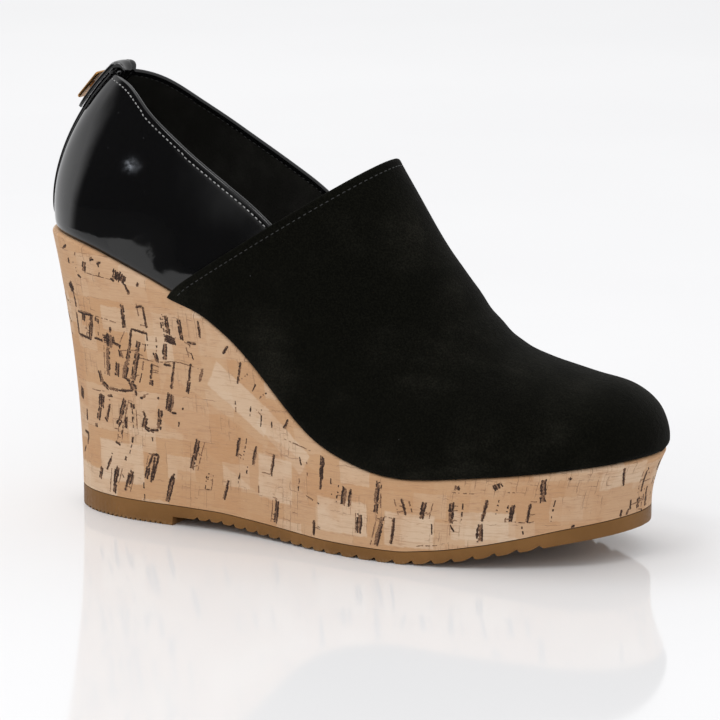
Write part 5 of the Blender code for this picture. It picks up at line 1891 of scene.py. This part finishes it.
def build_sock():
    """Black sock inside the upper, very slightly dished across."""
    shares = crowded_ends(90)
    across = np.linspace(-1, 1, 17)
    inset = WALL + FIT_GAP / 2
    columns = []
    for share in shares:
        edge = {side: wall_foot(share, side) - inset * seat_outward(share, side) for side in SIDES}
        row = []
        for t in across:
            point = edge[OUTER] + (edge[INNER] - edge[OUTER]) * (t + 1) / 2
            dish = SOCK_DISH * (1 - t * t) * min(1.0, 8 * share, 8 * (1 - share))
            point[2] = seat_height(point[0]) + FIT_GAP + INSOLE - dish
            row.append(point)
        columns.append(row)
    grid = np.array(columns)
    stations, rows = grid.shape[:2]
    ids = np.arange(stations * rows).reshape(stations, rows)
    ids[0] = ids[0, 0]
    ids[-1] = ids[-1, 0]
    faces = [face[::-1] for face in grid_faces(ids.tolist())]
    top = grid.reshape(-1, 3)
    bottom = top.copy()
    bottom[:, 2] = [seat_height(x) + FIT_GAP / 3 for x in top[:, 0]]
    add_piece("sock", np.vstack((top, bottom)), closed_faces(faces, len(top)), [LINING_FINISH],
              ("insole",))


# The stage

STUDIO_COLOUR = (0.99, 0.99, 1.0, 1.0)
SURROUNDINGS = 0.92        # how bright the studio is around the shoe
FLOOR_FROM = (-6, -6)
FLOOR_TO = (6, 8)
LIT_PLACE = (0.08, 0.0, 0.06)
LIGHTS = (
    # name, place, size, watts
    ("key", (-0.9, 0.35, 1.9), (1.3, 1.3), 7),
    ("front", (-0.25, -1.55, 2.2), (0.9, 0.6), 11),
)


def aim(thing, target):
    """Turns a light or camera from where it is toward a point."""
    thing.rotation_mode = "QUATERNION"
    thing.rotation_quaternion = (Vector(target) - thing.location).to_track_quat("-Z", "Y")


def soft_light(name, place, size, power):
    data = bpy.data.lights.new(name, "AREA")
    data.shape = "RECTANGLE"
    data.size, data.size_y = size
    data.energy = power
    light = bpy.data.objects.new(name, data)
    light.location = place
    bpy.context.collection.objects.link(light)
    aim(light, LIT_PLACE)


def floor_look():
    look = Look("floor", (0.86, 0.86, 0.87), 0.07)
    fog = look.noise(look.place(), 2.2, 3.0, 0.5)
    tone = look.mix(look.ramp(fog, 0.35, 0.7), (0.85, 0.85, 0.855), (0.88, 0.88, 0.883))
    return look.set(Base_Color=tone, Specular_IOR_Level=0.15)


def around(azimuth, distance, height):
    """A place around the shoe's heel, by its direction in degrees."""
    turn = math.radians(azimuth)
    return (distance * math.cos(turn), distance * math.sin(turn), height)


# Black flags that only the gloss sees, for what the patent leather reflects. The first lies on the
# floor and then stands, around the shoe's outer side; the second hangs over its inner side
FLAG_TURNS = (-179, -92)
FLAG_FADES = ((-179, -164), (-116, -92))
FLAG_LIFT = 0.002          # off the floor
FLAG_DISTANCE = 3.2
FLAG_TOP = 3.4
# On the floor the black starts closer to the shoe behind than it does in front: direction, distance
FLAG_NEAR = ((-179, 0.58), (-151, 0.51), (-143, 0.46), (-136, 0.46), (-132, 0.49), (-129, 0.52),
             (-126, 0.55), (-118, 0.70), (-92, 1.2))
CANOPY_TURNS = (20, 128)
CANOPY_DISTANCE = 2.4
CANOPY_RISES = (26, 38, 50, 62, 74)   # degrees above the floor


def gloss_only(thing):
    """Hides a piece of the stage from all but the reflections."""
    thing.visible_camera = False
    thing.visible_shadow = False
    thing.visible_diffuse = False


def curved_card(name, rows, finish):
    """A piece of the stage from rows of places."""
    width = len(rows[0])
    faces = [(k * width + i, k * width + i + 1, (k + 1) * width + i + 1, (k + 1) * width + i)
             for k in range(len(rows) - 1) for i in range(width - 1)]
    mesh = bpy.data.meshes.new(name)
    mesh.from_pydata([place for row in rows for place in row], [], faces)
    mesh.materials.append(finish)
    card = bpy.data.objects.new(name, mesh)
    bpy.context.collection.objects.link(card)
    return card


def flat_card(name, low, high, finish):
    """A level rectangle between two of its corners."""
    rows = [[(x, y, 0) for x in (low[0], high[0])] for y in (low[1], high[1])]
    return curved_card(name, rows, finish)


def flag_look():
    """Black that turns into the glow of the surroundings toward the flag's two upright ends."""
    look = Look("flag", (0.012, 0.012, 0.012), 0.9)
    place = look.place()
    turn = look.maths("ARCTAN2", look.part(place, "Y"), look.part(place, "X"))
    (first, black_from), (black_to, last) = (np.radians(pair).tolist() for pair in FLAG_FADES)
    glow = look.maths("ADD", look.ramp(turn, first, black_from, SURROUNDINGS, 0.0),
                      look.ramp(turn, black_to, last, 0.0, SURROUNDINGS))
    return look.set(Emission_Color=STUDIO_COLOUR, Emission_Strength=glow)


def build_flags():
    black = flag_look()
    turns = sorted({*np.linspace(*FLAG_TURNS, 25), *(row[0] for row in FLAG_NEAR)})
    near = np.interp(turns, [row[0] for row in FLAG_NEAR], [row[1] for row in FLAG_NEAR])
    rows = [[around(turn, distance, FLAG_LIFT) for turn, distance in zip(turns, near)]]
    rows += [[around(turn, FLAG_DISTANCE, height) for turn in turns] for height in (FLAG_LIFT, FLAG_TOP)]
    gloss_only(curved_card("flag", rows, black))
    rows = []
    for rise in CANOPY_RISES:
        level = CANOPY_DISTANCE * math.cos(math.radians(rise))
        height = CANOPY_DISTANCE * math.sin(math.radians(rise))
        rows.append([around(turn, level, height) for turn in np.linspace(*CANOPY_TURNS, 25)])
    gloss_only(curved_card("canopy", rows, black))


# A pale strip that carries the low band of light forward to the throat: where it stands, and its
# upper edge as places along it and heights
STRIP_FROM = (0.05, -0.03)
STRIP_AZIMUTH = -129
STRIP_DISTANCE = 0.22
STRIP_EDGE = ((-0.080, 0.056), (-0.055, 0.0645), (-0.030, 0.0700), (-0.024, 0.0740), (-0.016, 0.0790),
              (-0.004, 0.0825), (0.012, 0.0840))
STRIP_BOTTOM = 0.02
STRIP_GLOW = 0.95


def build_strip():
    finish = Look("strip", (0.0, 0.0, 0.0), 0.9).set(Emission_Color=(1.0, 1.0, 1.0, 1.0),
                                                     Emission_Strength=STRIP_GLOW)
    ahead = np.array(around(STRIP_AZIMUTH, 1.0, 0.0))
    aside = np.array((-ahead[1], ahead[0], 0.0))
    foot = np.array((*STRIP_FROM, 0.0)) + STRIP_DISTANCE * ahead
    rows = [[tuple(foot + along * aside + (0.0, 0.0, height)) for along, height in edge]
            for edge in ([(along, STRIP_BOTTOM) for along, _ in STRIP_EDGE], STRIP_EDGE)]
    gloss_only(curved_card("strip", rows, finish))


GLINT_PLACE = (-0.98, -1.087, 0.52)
GLINT_TARGET = (0.008, -0.027, 0.132)
GLINT_HALF = (0.24, 0.15)
GLINT_GLOW = 11.0


def build_glint():
    """A small uneven pale glow that shows as a smear of light on the patent leather."""
    look = Look("glint", (0.012, 0.012, 0.012), 0.9)
    place = look.place()
    core = look.scaled(place, (1 / GLINT_HALF[0], 1 / GLINT_HALF[1], 1.0))
    reach = look.node("ShaderNodeVectorMath", {0: core}, 1, operation="LENGTH")
    fade = look.maths("POWER", look.ramp(reach, 1.0, 0.0), 3.2)
    torn = look.ramp(look.noise(look.scaled(place, (13.0, 26.0, 1.0)), 1.0, 5.0, 0.75), 0.42, 0.70)
    finish = look.set(Emission_Color=(0.84, 0.90, 1.0, 1.0),
                      Emission_Strength=look.times(fade, torn, GLINT_GLOW))
    x, y = GLINT_HALF
    card = flat_card("glint", (-x, -y), (x, y), finish)
    card.location = GLINT_PLACE
    aim(card, GLINT_TARGET)
    gloss_only(card)


def build_stage():
    flat_card("floor", FLOOR_FROM, FLOOR_TO, floor_look())
    build_flags()
    build_strip()
    build_glint()

    world = bpy.data.worlds.new("studio")
    world.use_nodes = True
    background = world.node_tree.nodes["Background"]
    background.inputs["Color"].default_value = STUDIO_COLOUR
    background.inputs["Strength"].default_value = SURROUNDINGS
    bpy.context.scene.world = world

    for light in LIGHTS:
        soft_light(*light)


def build_camera():
    """The photograph's place of view, turned to the one shoe and drawn closer by its lens."""
    column, row = PHOTO_SHOE_CENTRE
    line = (PHOTO_AHEAD + PHOTO_RIGHT * (column - PHOTO_MIDDLE_COLUMN) / PHOTO_FOCAL
            + np.array([0.0, 0.0, (PHOTO_HORIZON_ROW - row) / PHOTO_FOCAL]))
    data = bpy.data.cameras.new("camera")
    camera = bpy.data.objects.new("camera", data)
    bpy.context.collection.objects.link(camera)
    eye = PHOTO_EYE + TO_ORIGIN
    camera.location = eye
    aim(camera, eye + line)
    focal = PHOTO_FOCAL * np.linalg.norm(line) * PICTURE_SIDE / PHOTO_SHOE_SPAN
    data.sensor_width = SENSOR_WIDTH
    data.lens = focal / PICTURE_SIDE * SENSOR_WIDTH
    data.clip_start, data.clip_end = CLIP_FROM, CLIP_TO
    bpy.context.scene.camera = camera


build_quarter()
build_lining()
vamp, vamp_high = build_vamp()
build_stitches("stitches_collar", collar_seam(), COLLAR_STITCH, COLLAR_STITCH_SINK, PALE_THREAD)
build_stitches("stitches_lining", inside_seam(), LINING_STITCH, 0.0, BLACK_THREAD)
build_stitches("stitches_throat", throat_seam(vamp, vamp_high), THROAT_STITCH, THROAT_STITCH_SINK,
               BLACK_THREAD)
build_backstay()
build_tab()
build_wedge(charted_slices())
build_streaks()
build_sole()
build_sock()
plate = frame["nodes"]["heel_plate"]
plate.data.materials.clear()
plate.data.materials.append(BRASS_FINISH)

build_stage()
build_camera()
bpy.context.scene.view_settings.view_transform = "Standard"
